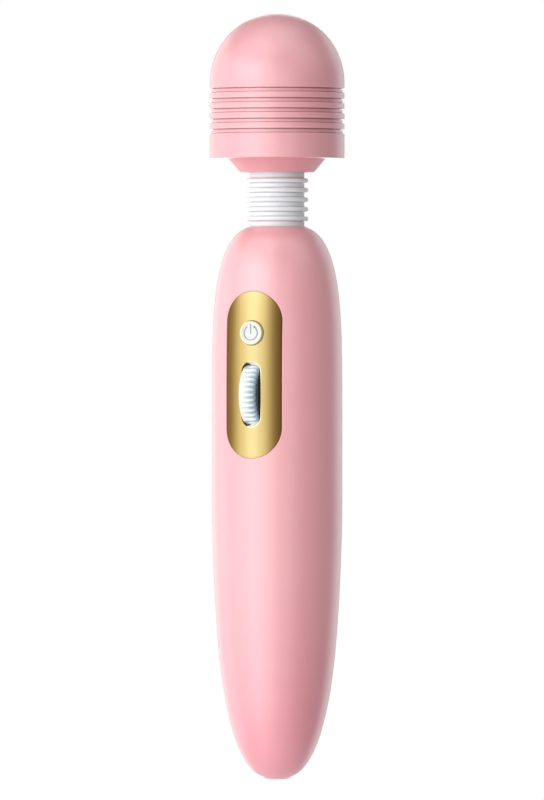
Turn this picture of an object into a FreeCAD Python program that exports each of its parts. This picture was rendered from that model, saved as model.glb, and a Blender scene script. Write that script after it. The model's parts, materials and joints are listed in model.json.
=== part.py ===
"""Handheld cordless wand massager, modelled as the assembly that it is.

Part frame: millimetres, +Z up along the wand's axis, origin on that axis at the base end of
the handle. The control panel faces -Y. A round tapered handle carries a gold control panel
with a push button and a ribbed thumb wheel. A ribbed flexible neck joins it to a domed head.
The head holds the motor and its off-centre weight; the handle holds the battery, the circuit
board and the charging socket.
"""
import FreeCAD
import Part
import math
import os

V = FreeCAD.Vector
OUT = "parts"
os.makedirs(OUT, exist_ok=True)

# ---------------------------------------------------------------- driving dimensions
LENGTH = 240.0            # base end to the top of the dome
HANDLE_R = 20.46          # handle at its cylindrical grip band
GRIP_Z0, GRIP_Z1 = 84.0, 100.0   # the band that is a true cylinder, all of it below the panel
BASE_FLAT_R = 3.0         # flat ring round the charging socket at the base end
BASE_HOLE_R = 2.35        # hole in the skin for the socket's nose
LOW_L, LOW_A, LOW_B = 149.976, 4.50894, 2.53351    # lower taper, a superellipse
TOP_Z0, TOP_L, TOP_A, TOP_B = 108.1, 66.042, 4.26553, 3.37243  # shoulder
HANDLE_TOP = 173.26       # top of the handle, round the neck
SKIN_T = 2.0              # soft skin over the casing
CASE_GAP = 0.06           # skin to casing
CASE_T = 1.8              # casing wall
NECK_HOLE_R = 8.85        # hole in the handle's top for the neck sleeve

PANEL_HALF_W = 9.35       # control panel, flat width over two
PANEL_Z0, PANEL_Z1 = 100.57, 152.67
PANEL_PROUD = 0.08        # panel above the skin
PANEL_GAP = 0.10          # panel to the skin's cut-out
PANEL_T = 1.95

BUTTON_Z = 139.65
BUTTON_R = 3.75
BUTTON_FACE_Y = -21.0
BUTTON_TRAVEL = 0.5

WHEEL_R = 11.2
WHEEL_W = 5.7
WHEEL_Y = -12.26
WHEEL_Z = 120.34
WHEEL_TEETH = 40
SLOT_W, SLOT_L = 6.3, 20.37

NECK_R = 8.55             # neck sleeve between its ribs
RIB_R = 9.80
RIB_T = 1.46
RIB_Z = [187.48, 184.49, 181.50, 178.51, 175.52]
NECK_IN_R = 7.1

HEAD_R = 21.15            # head cap, lower band
DOME_Z = 218.07           # centre of the dome's ellipse
DOME_H = 21.93
CAP_Z0 = 194.34
CAP_T = 2.5
GROOVE_TOP = 216.3
GROOVE_PITCH = 3.2
GROOVE_W = 1.4
GROOVE_D = 0.98
CONE_Z0, CONE_R0, CONE_R1 = 190.07, 11.56, 15.1

MOTOR_R = 12.1
MOTOR_Z0, MOTOR_Z1 = 203.6, 225.4
SHAFT_R = 1.0

CELL_R, CELL_Z0, CELL_Z1 = 9.15, 24.2, 89.2

BOARD_Y = 1.05            # front face of the main board
BOARD_T = 1.2


# ---------------------------------------------------------------- helpers
def P(r, z):
    return V(r, 0, z)


def seg(a, b):
    return Part.LineSegment(P(*a), P(*b)).toShape()


def curve(points, t0, t1):
    """Smooth edge through the points, in arc-length measure, with unit end tangents."""
    pts = [P(*p) for p in points]
    par = [0.0]
    for a, b in zip(pts, pts[1:]):
        par.append(par[-1] + (b - a).Length)
    c = Part.BSplineCurve()
    c.interpolate(Points=pts, Parameters=par, InitialTangent=P(*t0).normalize(),
                  FinalTangent=P(*t1).normalize(), Scale=False)
    return c.toShape()


def ellipse_arc(cz, a, b, z0, z1):
    """Quarter-ellipse edge in the XZ plane from height z0 up to z1, centre on the axis."""
    t0 = math.asin(max(-1, min(1, (z0 - cz) / b)))
    t1 = math.asin(max(-1, min(1, (z1 - cz) / b)))
    if b >= a:
        e = Part.Ellipse(V(0, 0, cz + b), V(a, 0, cz), V(0, 0, cz))
        # parameter runs from the major axis (+Z) towards +X
        edge = Part.Arc(e, math.pi / 2 - t1, math.pi / 2 - t0).toShape()
    else:
        e = Part.Ellipse(V(a, 0, cz), V(0, 0, cz + b), V(0, 0, cz))
        edge = Part.Arc(e, t0, t1).toShape()
    return edge


def spin(edges):
    wire = Part.Wire(Part.__sortEdges__(edges))
    s = Part.Face(wire).revolve(V(0, 0, 0), V(0, 0, 1), 360)
    if s.Volume < 0:
        s.reverse()
    return s


def rounded(points):
    """Closed outline in the XZ plane. Each point is (r, z) or (r, z, fillet)."""
    n = len(points)
    edges, ends = [], []
    for i in range(n):
        p = V(points[i][0], 0, points[i][1])
        f = points[i][2] if len(points[i]) > 2 else 0.0
        if f <= 0:
            ends.append((p, p, None))
            continue
        a = V(points[i - 1][0], 0, points[i - 1][1])
        b = V(points[(i + 1) % n][0], 0, points[(i + 1) % n][1])
        u, w = (a - p).normalize(), (b - p).normalize()
        half = math.acos(max(-1, min(1, u.dot(w)))) / 2
        d = f / math.tan(half)
        c = p + (u + w).normalize() * (f / math.sin(half))
        q0, q1 = p + u * d, p + w * d
        m = c + (p - c).normalize() * f
        ends.append((q0, q1, Part.Arc(q0, m, q1).toShape()))
    for i in range(n):
        if ends[i][2] is not None:
            edges.append(ends[i][2])
        a, b = ends[i][1], ends[(i + 1) % n][0]
        if (b - a).Length > 1e-6:
            edges.append(Part.LineSegment(a, b).toShape())
    return edges


def lathe(points):
    return spin(rounded(points))


def cyl(r, h, base, axis=V(0, 0, 1)):
    return Part.makeCylinder(r, h, base, axis)


def tube(r1, r0, z0, z1, x=0, y=0):
    return cyl(r1, z1 - z0, V(x, y, z0)).cut(cyl(r0, z1 - z0 + 2, V(x, y, z0 - 1)))


def ycyl(r, y0, y1, x, z):
    return cyl(r, y1 - y0, V(x, y0, z), V(0, 1, 0))


def xcyl(r, x0, x1, y, z):
    return cyl(r, x1 - x0, V(x0, y, z), V(1, 0, 0))


def box(x0, x1, y0, y1, z0, z1):
    return Part.makeBox(x1 - x0, y1 - y0, z1 - z0, V(x0, y0, z0))


def stadium(half_w, z0, z1, y0, y1, x=0.0):
    """Prism along +Y whose section is a stadium standing along Z."""
    a, b = z0 + half_w, z1 - half_w
    pts = [V(x - half_w, y0, a), V(x - half_w, y0, b), V(x + half_w, y0, b), V(x + half_w, y0, a)]
    w = Part.Wire([
        Part.LineSegment(pts[0], pts[1]).toShape(),
        Part.Arc(pts[1], V(x, y0, z1), pts[2]).toShape(),
        Part.LineSegment(pts[2], pts[3]).toShape(),
        Part.Arc(pts[3], V(x, y0, z0), pts[0]).toShape(),
    ])
    return Part.Face(w).extrude(V(0, y1 - y0, 0))


def fuse(first, *rest):
    s = first
    for r in rest:
        s = s.fuse(r)
    return s.removeSplitter()


def save(name, shape):
    solids = []
    for s in (shape if isinstance(shape, list) else [shape]):
        for q in s.Solids:
            if q.Volume < 0:
                q.reverse()
            solids.append(q)
    assert solids, name
    for q in solids:
        assert q.isValid() and q.isClosed(), name + " is not a valid closed solid"
    out = solids[0] if len(solids) == 1 else Part.makeCompound(solids)
    out.exportStep(os.path.join(OUT, name + ".step"))
    print("%-24s %2d solid(s) %10.1f mm3" % (name, len(solids), sum(q.Volume for q in solids)))
    return out


# ---------------------------------------------------------------- handle profile
def low_r(z):
    t = 1 - z / LOW_L
    r = HANDLE_R * (1 - t ** LOW_A) ** (1 / LOW_B)
    # settles into the cylindrical grip band
    u = max(0.0, min(1.0, (z - 48.0) / (GRIP_Z0 - 48.0)))
    end = HANDLE_R * (1 - (1 - GRIP_Z0 / LOW_L) ** LOW_A) ** (1 / LOW_B)
    return r + (HANDLE_R - end) * u * u * (3 - 2 * u)


def top_r(z):
    t = max(0.0, (z - TOP_Z0) / TOP_L)
    return HANDLE_R * (1 - t ** TOP_A) ** (1 / TOP_B)


LOW_ST = [0.9, 2.2, 4.1, 7.0, 11.0, 17.0, 25.0, 35.0, 47.0, 60.0, 72.0]
TOP_ST = [104.0, 108.0, 114.0, 120.0, 131.0, 141.0, 149.0, 155.5, 160.5, 164.6, 168.0, 170.5, 172.3]


def offset_at(f, z, d):
    """Point and unit tangent of the outline f, moved inwards by d."""
    e = 1e-3
    sl = (f(z + e) - f(z - e)) / (2 * e)
    n = math.hypot(1, sl)
    return (f(z) - d / n, z + d * sl / n), (sl / n, 1 / n)


def find(f, d, r, lo, hi):
    """Height at which the moved outline has radius r."""
    for _ in range(60):
        mid = (lo + hi) / 2
        inside = offset_at(f, mid, d)[0][0] < r
        if f is low_r:
            lo, hi = (mid, hi) if inside else (lo, mid)
        else:
            lo, hi = (lo, mid) if inside else (mid, hi)
    return (lo + hi) / 2


def handle_curve(d, r_base, r_top, z_base=None):
    """Edges of the handle's outline moved inwards by d, and its two end points."""
    zb = find(low_r, d, r_base, 0.02, 40.0)
    zt = find(top_r, d, r_top, 140.0, TOP_Z0 + TOP_L - 0.01)
    b_pt, b_tan = offset_at(low_r, zb, d)
    t_pt, t_tan = offset_at(top_r, zt, d)
    if z_base is not None:
        b_pt, b_tan = (r_base, z_base), (1.0, 0.2)
    low = [b_pt] + [offset_at(low_r, z, d)[0] for z in LOW_ST if z > zb + 0.4] + [(HANDLE_R - d, GRIP_Z0)]
    top = [(HANDLE_R - d, GRIP_Z1)] + [offset_at(top_r, z, d)[0] for z in TOP_ST if z < zt - 0.4] + [t_pt]
    edges = [curve(low, b_tan, (0, 1)), seg((HANDLE_R - d, GRIP_Z0), (HANDLE_R - d, GRIP_Z1)),
             curve(top, (0, 1), t_tan)]
    return edges, b_pt, t_pt


def path(points):
    return [seg(a, b) for a, b in zip(points, points[1:])]


def handle_solid(d, r_base, r_top, z_base=None):
    """The handle's outside moved inwards by d, as a full solid of revolution."""
    e, b, t = handle_curve(d, r_base, r_top, z_base)
    return spin(e + path([t, (0, t[1]), (0, b[1]), b]))


def handle_shell(out, inn, hole_base, hole_top):
    """Wall between two moved outlines, open at the base and at the top."""
    eo, bo, to = out
    ei, bi, ti = inn
    top = [to, (hole_top, to[1]), (hole_top, ti[1]), ti]
    bot = [bi, (hole_base, bi[1]), (hole_base, bo[1]), bo]
    return spin(eo + ei + path(top) + path(bot))


d1 = SKIN_T
d2 = SKIN_T + CASE_GAP
d3 = d2 + CASE_T
case_out = handle_solid(d2, 3.4, 9.6)

# ---------------------------------------------------------------- handle_skin
skin = handle_shell(handle_curve(0.0, BASE_FLAT_R, NECK_HOLE_R + 0.1, 0.0), handle_curve(d1, 3.4, 9.6),
                    BASE_HOLE_R, NECK_HOLE_R)
cut_out = stadium(PANEL_HALF_W + PANEL_GAP, PANEL_Z0 - PANEL_GAP, PANEL_Z1 + PANEL_GAP, -30, -5)
skin = skin.cut(cut_out)
save("handle_skin", skin)

# ---------------------------------------------------------------- control_panel
plate = handle_shell(handle_curve(-PANEL_PROUD, 6.0, 12.0), handle_curve(PANEL_T, 6.0, 12.0), 4.0, 10.0)
plate = plate.common(stadium(PANEL_HALF_W, PANEL_Z0, PANEL_Z1, -30, -5))
plate = plate.cut(ycyl(BUTTON_R + 0.1, -30, -5, 0, BUTTON_Z))
plate = plate.cut(stadium(SLOT_W / 2, WHEEL_Z - SLOT_L / 2, WHEEL_Z + SLOT_L / 2, -30, -5))
save("control_panel", plate)

# ---------------------------------------------------------------- casing: front_shell, rear_shell
case = handle_shell(handle_curve(d2, 3.4, 9.6), handle_curve(d3, 3.6, 10.95), 2.6, NECK_HOLE_R)
SEAT_Z = 5.6
case = case.fuse(tube(5.6, 2.6, 4.0, SEAT_Z).common(case_out))      # seat under the charging socket
SPLIT = 0.05
front_half = box(-40, 40, -40, -SPLIT, -10, 200)
rear_half = box(-40, 40, SPLIT, 40, -10, 200)

BOSSES = [(12.4, 42.0), (12.6, 93.2), (10.4, 154.0)]      # casing screws, x and z


def both(points):
    return [(s * x, z) for x, z in points for s in (-1, 1)]


front = case.common(front_half)
rear = case.common(rear_half)
for x, z in both(BOSSES):
    front = front.fuse(ycyl(2.4, -30, -SPLIT, x, z).common(case_out))
    rear = rear.fuse(ycyl(2.9, SPLIT, 30, x, z).common(case_out))
# saddles round the cell and stops at its ends
for z in (34.0, 56.0, 78.0):
    ring = cyl(30, 1.6, V(0, 0, z)).common(case_out).cut(cyl(CELL_R + 0.12, 10, V(0, 0, z - 2)))
    front = front.fuse(ring.common(front_half))
    rear = rear.fuse(ring.common(rear_half))
for z in (21.4, 90.35):
    ring = cyl(30, 1.5, V(0, 0, z)).common(case_out).cut(cyl(4.2, 10, V(0, 0, z - 2)))
    front = front.fuse(ring.common(front_half))
    rear = rear.fuse(ring.common(rear_half))
# stop above the charging socket
ring = cyl(30, 1.4, V(0, 0, 13.1)).common(case_out).cut(cyl(2.9, 10, V(0, 0, 10)))
front = front.fuse(ring.common(front_half))
rear = rear.fuse(ring.common(rear_half))
# seats that clamp the neck anchor
ring = cyl(30, 1.5, V(0, 0, 158.4)).common(case_out).cut(cyl(6.0, 10, V(0, 0, 155)))
front = front.fuse(ring.common(front_half))
rear = rear.fuse(ring.common(rear_half))
# posts for the switch board (front) and for the main board (rear)
SWITCH_POSTS = [(4.6, 146.6)]
for x, z in both(SWITCH_POSTS):
    front = front.fuse(ycyl(1.5, -30, -11.4, x, z).common(case_out))
BOARD_POSTS = [(8.7, 99.4), (8.7, 143.4)]
for x, z in both(BOARD_POSTS):
    rear = rear.fuse(ycyl(2.0, BOARD_Y + BOARD_T + 0.02, 30, x, z).common(case_out))
# window behind the panel, the wire ways and the screw holes
front = front.cut(ycyl(5.25, -30, -13.5, 0, BUTTON_Z))
front = front.cut(stadium(SLOT_W / 2 + 0.35, WHEEL_Z - 12.1, WHEEL_Z + 12.1, -30, -11))
rear = rear.cut(box(-3.1, 3.1, 8.0, 11.0, 20.5, 23.5))
rear = rear.cut(box(-3.1, 3.1, 9.4, 12.9, 30.0, 95.0))
for x, z in both(BOSSES):
    front = front.cut(ycyl(0.9, -7.5, 0.0, x, z))
    rear = rear.cut(ycyl(1.2, -1, 30, x, z)).cut(ycyl(2.1, 4.6, 30, x, z))
for x, z in both(SWITCH_POSTS):
    front = front.cut(ycyl(0.75, -14.9, -11.0, x, z))
for x, z in both(BOARD_POSTS):
    rear = rear.cut(ycyl(0.75, 2.0, 8.0, x, z))
save("front_shell", front.removeSplitter())
save("rear_shell", rear.removeSplitter())

screws = []
for x, z in both(BOSSES):
    s = ycyl(1.95, 4.6, 5.9, x, z).fuse(ycyl(0.88, -6.0, 4.7, x, z))
    s = s.cut(ycyl(0.75, 5.2, 6.5, x, z))
    screws.append(s.removeSplitter())
save("shell_screws", screws)

# ---------------------------------------------------------------- main board and what it carries
board = box(-11.0, 11.0, BOARD_Y, BOARD_Y + BOARD_T, 96.6, 147.0)
for x, z in both(BOARD_POSTS):
    board = board.cut(ycyl(0.95, 0, 5, x, z))
for s in (-1, 1):
    board = board.cut(box(s * 10.0 - 1.6, s * 10.0 + 1.6, 0, 4, 96.0, 97.6))

pcb_screws = []
for x, z in both(BOARD_POSTS):
    s = ycyl(1.6, BOARD_Y - 1.0, BOARD_Y, x, z).fuse(ycyl(0.73, BOARD_Y - 0.1, BOARD_Y + 5.4, x, z))
    pcb_screws.append(s.removeSplitter())
save("board_screws", pcb_screws)

yb = BOARD_Y + BOARD_T
save("control_chip", box(-3.5, 3.5, yb, yb + 1.4, 116.0, 123.0))
save("motor_driver_chip", box(-2.4, 2.4, yb, yb + 1.5, 133.0, 139.0))
caps = [ycyl(2.0, yb, yb + 6.0, x, 106.9) for x in (-5.2, 0.2)]
save("capacitors", caps)
coil = ycyl(3.0, yb, yb + 1.2, 5.6, 112.8).fuse(ycyl(2.2, yb + 1.1, yb + 3.1, 5.6, 112.8)).fuse(
    ycyl(3.0, yb + 3.0, yb + 4.0, 5.6, 112.8))
save("charge_inductor", coil.removeSplitter())
plug = box(-4.0, 4.0, yb, yb + 4.2, 99.0, 104.2).cut(box(-3.2, 3.2, yb + 1.0, yb + 3.4, 98.0, 103.0))
save("wire_connector", plug)

# ---------------------------------------------------------------- thumb wheel
def wheel_shape():
    w = WHEEL_W / 2
    prof = [(0.0, -w), (WHEEL_R - 1.5, -w), (WHEEL_R - 0.45, -w + 0.55), (WHEEL_R, -w + 1.5),
            (WHEEL_R, w - 1.5), (WHEEL_R - 0.45, w - 0.55), (WHEEL_R - 1.5, w), (0.0, w)]
    edges = []
    for i in range(len(prof)):
        a, b = prof[i], prof[(i + 1) % len(prof)]
        edges.append(Part.LineSegment(V(a[0], 0, a[1]), V(b[0], 0, b[1])).toShape())
    disc = spin(edges)
    # dished sides
    for s in (-1, 1):
        z0 = s * w if s < 0 else w - 0.6
        disc = disc.cut(tube(8.3, 3.4, z0 if s < 0 else z0, z0 + 0.6))
    grooves = []
    for i in range(WHEEL_TEETH):
        a = 2 * math.pi * i / WHEEL_TEETH
        rr = WHEEL_R + 0.22
        grooves.append(cyl(0.62, WHEEL_W + 2, V(rr * math.cos(a), rr * math.sin(a), -w - 1)))
    disc = disc.cut(Part.makeCompound(grooves))
    disc = disc.cut(cyl(1.0, WHEEL_W + 2, V(0, 0, -w - 1)))
    # wheel axis from +Z to +X, then into place
    disc.rotate(V(0, 0, 0), V(0, 1, 0), 90)
    disc.translate(V(0, WHEEL_Y, WHEEL_Z))
    return disc


save("speed_wheel", wheel_shape())
axle = xcyl(0.99, -4.9, 5.9, WHEEL_Y, WHEEL_Z)
flat = box(4.9, 6.2, WHEEL_Y + 0.55, WHEEL_Y + 2.0, WHEEL_Z - 2, WHEEL_Z + 2)
save("wheel_axle", axle.cut(flat))

# bracket: base on the board, two ears with the axle's bearings
BR_Y0 = -0.25
bracket = box(-4.6, 4.6, BR_Y0, BOARD_Y - 0.02, WHEEL_Z - 11.5, WHEEL_Z + 11.5)
for s in (-1, 1):
    x0, x1 = (3.2, 4.6) if s > 0 else (-4.6, -3.2)
    ear = box(x0, x1, WHEEL_Y, BR_Y0 + 0.1, WHEEL_Z - 3.2, WHEEL_Z + 3.2)
    ear = ear.fuse(xcyl(2.6, x0, x1, WHEEL_Y, WHEEL_Z))
    bracket = bracket.fuse(ear)
bracket = bracket.removeSplitter().cut(xcyl(1.05, -6, 6, WHEEL_Y, WHEEL_Z))
for z in (WHEEL_Z - 10.2, WHEEL_Z + 10.2):
    for x in (-3.0, 3.0):
        bracket = bracket.fuse(ycyl(0.6, BOARD_Y - 0.1, BOARD_Y + BOARD_T + 0.4, x, z))
save("wheel_bracket", bracket.removeSplitter())

# potentiometer: body beside the right ear, its rotor round the axle's flat
pot = box(4.65, 8.0, -14.2, -4.6, WHEEL_Z - 4.8, WHEEL_Z + 4.8).cut(xcyl(1.95, 4.0, 9.0, WHEEL_Y, WHEEL_Z))
for z in (-3.0, 0.0, 3.0):
    pot = pot.fuse(ycyl(0.4, -4.7, BOARD_Y + BOARD_T + 0.5, 6.3, WHEEL_Z + z))
save("speed_potentiometer", pot.removeSplitter())
rotor = xcyl(1.85, 4.75, 7.6, WHEEL_Y, WHEEL_Z)
socket = xcyl(1.0, 4.5, 5.95, WHEEL_Y, WHEEL_Z).cut(flat)
save("potentiometer_rotor", rotor.cut(socket))

# holes in the board for the bracket's pegs and the potentiometer's pins are made here
board = board.copy()
for z in (WHEEL_Z - 10.2, WHEEL_Z + 10.2):
    for x in (-3.0, 3.0):
        board = board.cut(ycyl(0.65, 0, 5, x, z))
for z in (-3.0, 0.0, 3.0):
    board = board.cut(ycyl(0.5, 0, 5, 6.3, WHEEL_Z + z))
save("main_board", board)

# ---------------------------------------------------------------- power button and its switch
def button_shape():
    f = BUTTON_FACE_Y
    cap = cyl(BUTTON_R, 3.7, V(0, 0, 0))
    edge = [e for e in cap.Edges if abs(e.BoundBox.ZMin) < 1e-6 and abs(e.BoundBox.ZMax) < 1e-6
            and e.Curve.TypeId == "Part::GeomCircle"]
    cap = cap.makeFillet(0.4, edge)
    ring = tube(2.27 + 0.19, 2.27 - 0.19, -1, 0.16)
    gap = box(-1.15, 1.15, 0.0, 4.0, -2, 1)      # gap at the top of the ring, +Y here is up
    ring = ring.cut(gap)
    bar = box(-0.19, 0.19, -0.1, 2.75, -1, 0.16)
    cap = cap.cut(ring).cut(bar)
    cap = cap.fuse(cyl(4.85, 0.75, V(0, 0, 3.7)))
    cap = cap.fuse(cyl(1.5, 1.05, V(0, 0, 4.4)))
    # turned over and stood up: local Z becomes +Y (inwards), local Y becomes +Z
    cap = cap.removeSplitter()
    cap.rotate(V(0, 0, 0), V(0, 1, 0), 180)
    cap.rotate(V(0, 0, 0), V(1, 0, 0), 90)
    cap.translate(V(0, f, BUTTON_Z))
    return cap


save("power_button", button_shape())
sy = BUTTON_FACE_Y + 5.45                      # end of the button's stem
plunger = ycyl(1.7, sy + 0.02, sy + 0.95, 0, BUTTON_Z).fuse(ycyl(1.2, sy + 0.9, sy + 2.65, 0, BUTTON_Z))
save("switch_plunger", plunger.removeSplitter())
tact = box(-3.0, 3.0, -13.6, -11.35, BUTTON_Z - 3.0, BUTTON_Z + 3.0)
tact = tact.fuse(ycyl(2.3, -13.85, -13.5, 0, BUTTON_Z))
tact = tact.cut(ycyl(1.27, -15, -12.2, 0, BUTTON_Z))
save("power_switch", tact.removeSplitter())
sb = box(-6.2, 6.2, -11.35, -10.25, 134.4, 148.4)
for x, z in both(SWITCH_POSTS):
    sb = sb.cut(ycyl(0.85, -12, -9, x, z))
save("switch_board", sb)
sbs = []
for x, z in both(SWITCH_POSTS):
    s = ycyl(1.45, -10.25, -9.35, x, z).fuse(ycyl(0.73, -14.6, -10.2, x, z))
    sbs.append(s.removeSplitter())
save("switch_board_screws", sbs)

# ---------------------------------------------------------------- battery
cell = lathe([(0, CELL_Z0), (CELL_R, CELL_Z0, 0.6), (CELL_R, CELL_Z1 - 0.7, 0.6), (0, CELL_Z1 - 0.7)])
cell = cell.fuse(cyl(3.0, 0.8, V(0, 0, CELL_Z1 - 0.8)))
save("battery_cell", cell.removeSplitter())
tabs = [box(-3.0, 3.0, -2.5, 2.5, CELL_Z1 + 0.02, CELL_Z1 + 0.22),
        box(-3.0, 3.0, -2.5, 2.5, CELL_Z0 - 0.22, CELL_Z0 - 0.02)]
save("battery_tabs", tabs)
pads = [tube(8.4, 4.4, CELL_Z1 - 0.65, CELL_Z1 + 1.1), tube(8.4, 4.4, 22.95, CELL_Z0 - 0.05)]
save("battery_pads", pads)

# ---------------------------------------------------------------- charging socket
JACK_R, JACK_Z0, JACK_LEN = 1.3, 0.35, 9.0
jack = lathe([(0, JACK_Z0), (2.25, JACK_Z0, 0.25), (2.25, 5.7), (4.0, 5.7, 0.3), (4.0, 13.0, 0.3), (0, 13.0)])
jack = jack.cut(cyl(JACK_R, JACK_LEN, V(0, 0, JACK_Z0)).fuse(cyl(JACK_R, 1, V(0, 0, JACK_Z0 - 1))))
for s in (-1, 1):
    jack = jack.fuse(box(s * 1.4 - 0.5, s * 1.4 + 0.5, -0.2, 0.2, 12.9, 15.6))
save("charge_socket", jack.removeSplitter())


# ---------------------------------------------------------------- inner leads, held all the way
def lead(points, r):
    """Round wire along straight runs joined by tangent arcs."""
    pts = [V(*p) for p in points]
    edges, last = [], pts[0]
    for i in range(1, len(pts) - 1):
        a, b, c = pts[i - 1], pts[i], pts[i + 1]
        u, w = (a - b), (c - b)
        lu, lw = u.Length, w.Length
        u, w = u.normalize(), w.normalize()
        if (u + w).Length < 1e-3:
            continue
        half = math.acos(max(-1, min(1, u.dot(w)))) / 2
        t = 0.45 * min(lu, lw)
        rad = t * math.tan(half)
        q0, q1 = b + u * t, b + w * t
        cen = b + (u + w).normalize() * (rad / math.sin(half))
        m = cen + (b - cen).normalize() * rad
        edges.append(Part.LineSegment(last, q0).toShape())
        edges.append(Part.Arc(q0, m, q1).toShape())
        last = q1
    edges.append(Part.LineSegment(last, pts[-1]).toShape())
    path = Part.Wire(edges)
    d = (pts[1] - pts[0]).normalize()
    circ = Part.Wire([Part.Circle(pts[0], d, r).toShape()])
    s = path.makePipeShell([circ], True, True)
    want = math.pi * r * r * path.Length
    assert abs(s.Volume - want) < 0.02 * want, "lead volume"
    return s


charge = [lead([(sx * 1.4, 0.0, 15.65), (sx * 1.4, 1.5, 18.0), (sx * 0.8, 8.5, 20.0), (sx * 0.8, 11.25, 24.5),
                (sx * 0.8, 11.25, 92.0), (sx * 0.9, 7.5, 96.0), (sx * 0.9, yb + 2.4, 98.8)], 0.55)
          for sx in (-1, 1)]
save("charge_leads", charge)
battery = [
    lead([(2.2, 0.0, CELL_Z1 + 0.32), (2.2, 0.0, 91.4), (2.2, 0.6, 93.4), (2.7, yb + 2.3, 96.5), (2.7, yb + 2.3, 98.8)], 0.55),
    lead([(-2.2, 0.0, CELL_Z0 - 0.32), (-2.2, 0.0, 22.3), (-2.2, 1.2, 20.6), (-2.4, 8.5, 20.3), (-2.4, 11.25, 24.5),
          (-2.4, 11.25, 92.0), (-2.7, 7.5, 96.0), (-2.7, yb + 2.3, 98.8)], 0.55),
]
save("battery_leads", battery)
switch = [lead([(sx * 1.6, -10.2, 136.5), (sx * 1.6, -6.5, 136.5), (sx * 1.6, -2.5, 141.0), (sx * 1.6, BOARD_Y - 0.05, 141.0)], 0.4)
          for sx in (-1, 1)]
save("switch_leads", switch)

# ---------------------------------------------------------------- neck
anchor_low = lathe([(4.0, 160.0), (10.7, 160.0, 0.4), (10.7, 165.25, 0.3), (6.85, 165.25), (6.85, 161.6), (4.0, 161.6)])
save("neck_lower_anchor", anchor_low)


def sleeve():
    """Ribbed neck sleeve: straight wall, five rounded ribs, a clamped flange at each end."""
    z0, z1 = 165.3, 195.55
    pts = [(NECK_IN_R, z0), (10.4, z0, 0.3), (10.4, z0 + 1.5, 0.3), (NECK_R, z0 + 1.5, 0.3)]
    e_pts = sorted(RIB_Z)
    for zc in e_pts:
        h = RIB_T / 2
        pts += [(NECK_R, zc - h, 0.18), (RIB_R, zc - h, h * 0.98), (RIB_R, zc + h, h * 0.98), (NECK_R, zc + h, 0.18)]
    pts += [(NECK_R, z1 - 1.4, 0.3), (10.4, z1 - 1.4, 0.3), (10.4, z1, 0.3), (NECK_IN_R, z1)]
    return lathe(pts)


save("neck_sleeve", sleeve())


def spring(z0, z1, mean_r, wire_r, pitch):
    h = z1 - z0 - 2 * wire_r
    helix = Part.makeHelix(pitch, h, mean_r)
    w = Part.Wire(helix.Edges)
    slope = math.atan2(pitch, 2 * math.pi * mean_r)
    d = V(0, math.cos(slope), math.sin(slope))
    c = Part.Wire([Part.Circle(V(mean_r, 0, 0), d, wire_r).toShape()])
    s = w.makePipeShell([c], True, True)
    s.translate(V(0, 0, z0 + wire_r))
    return s


save("neck_spring", spring(161.7, 198.6, 5.95, 0.75, 2.2))

# ---------------------------------------------------------------- head
cone_h = CAP_Z0 - CONE_Z0
base = lathe([
    (NECK_HOLE_R, CONE_Z0, 0.15), (CONE_R0, CONE_Z0, 0.35), (CONE_R1, CAP_Z0 - 0.02), (CONE_R1, 196.32),
    (18.45, 196.32, 0.2), (18.45, 198.25), (16.65, 198.25), (16.65, 200.25, 0.3), (11.05, 200.25),
    (11.05, 195.7), (10.6, 195.7), (10.6, 194.05), (NECK_HOLE_R, 194.05)])
CR_R, CR_N = 14.85, 3
CR_POS = [(CR_R * math.cos(math.radians(a)), CR_R * math.sin(math.radians(a))) for a in (30, 150, 270)]
for x, y in CR_POS:
    base = base.cut(cyl(0.75, 4.0, V(x, y, 196.9)))
save("head_base", base)


def cap_outline(groove=True):
    """Outline of the silicone head cap: band, grooves, dome, wall and lower lip."""
    f = 0.12
    pts = [(15.3, CAP_Z0, 0.25), (HEAD_R, CAP_Z0, 0.45)]
    z_prev = None
    for i in range(4, -1, -1):
        top = GROOVE_TOP - GROOVE_PITCH * i
        pts += [(HEAD_R, top - GROOVE_W, f), (HEAD_R - GROOVE_D, top - GROOVE_W, f),
                (HEAD_R - GROOVE_D, top, f), (HEAD_R, top, f)]
    pts += [(HEAD_R, DOME_Z)]
    pts += [(HEAD_R, DOME_Z)]
    return pts


def cap_shape():
    # turned band with its grooves, closed above at the dome's centre height
    pts = cap_outline()[:-1] + [(18.65, DOME_Z), (18.65, 196.2, 0.2), (15.3, 196.2, 0.2)]
    lower = lathe(pts)
    out_arc = ellipse_arc(DOME_Z, HEAD_R, DOME_H, DOME_Z, DOME_Z + DOME_H)
    in_arc = ellipse_arc(DOME_Z, HEAD_R - CAP_T, DOME_H - CAP_T, DOME_Z, DOME_Z + DOME_H - CAP_T)
    dome = spin([out_arc, seg((0, DOME_Z + DOME_H), (0, DOME_Z + DOME_H - CAP_T)), in_arc,
                 seg((HEAD_R - CAP_T, DOME_Z), (HEAD_R, DOME_Z))])
    return fuse(lower, dome)


save("head_cap", cap_shape())

core_r, core_t = 18.58, 1.75
core_low = tube(core_r, core_r - core_t, 198.32, DOME_Z)
oa = ellipse_arc(DOME_Z, core_r, DOME_H - CAP_T - 0.07, DOME_Z, DOME_Z + DOME_H - CAP_T - 0.07)
ia = ellipse_arc(DOME_Z, core_r - core_t, DOME_H - CAP_T - 0.07 - core_t, DOME_Z,
                 DOME_Z + DOME_H - CAP_T - 0.07 - core_t)
zo, zi = DOME_Z + DOME_H - CAP_T - 0.07, DOME_Z + DOME_H - CAP_T - 0.07 - core_t
core_dome = spin([oa, seg((0, zo), (0, zi)), ia, seg((core_r - core_t, DOME_Z), (core_r, DOME_Z))])
save("head_core", fuse(core_low, core_dome))

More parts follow.
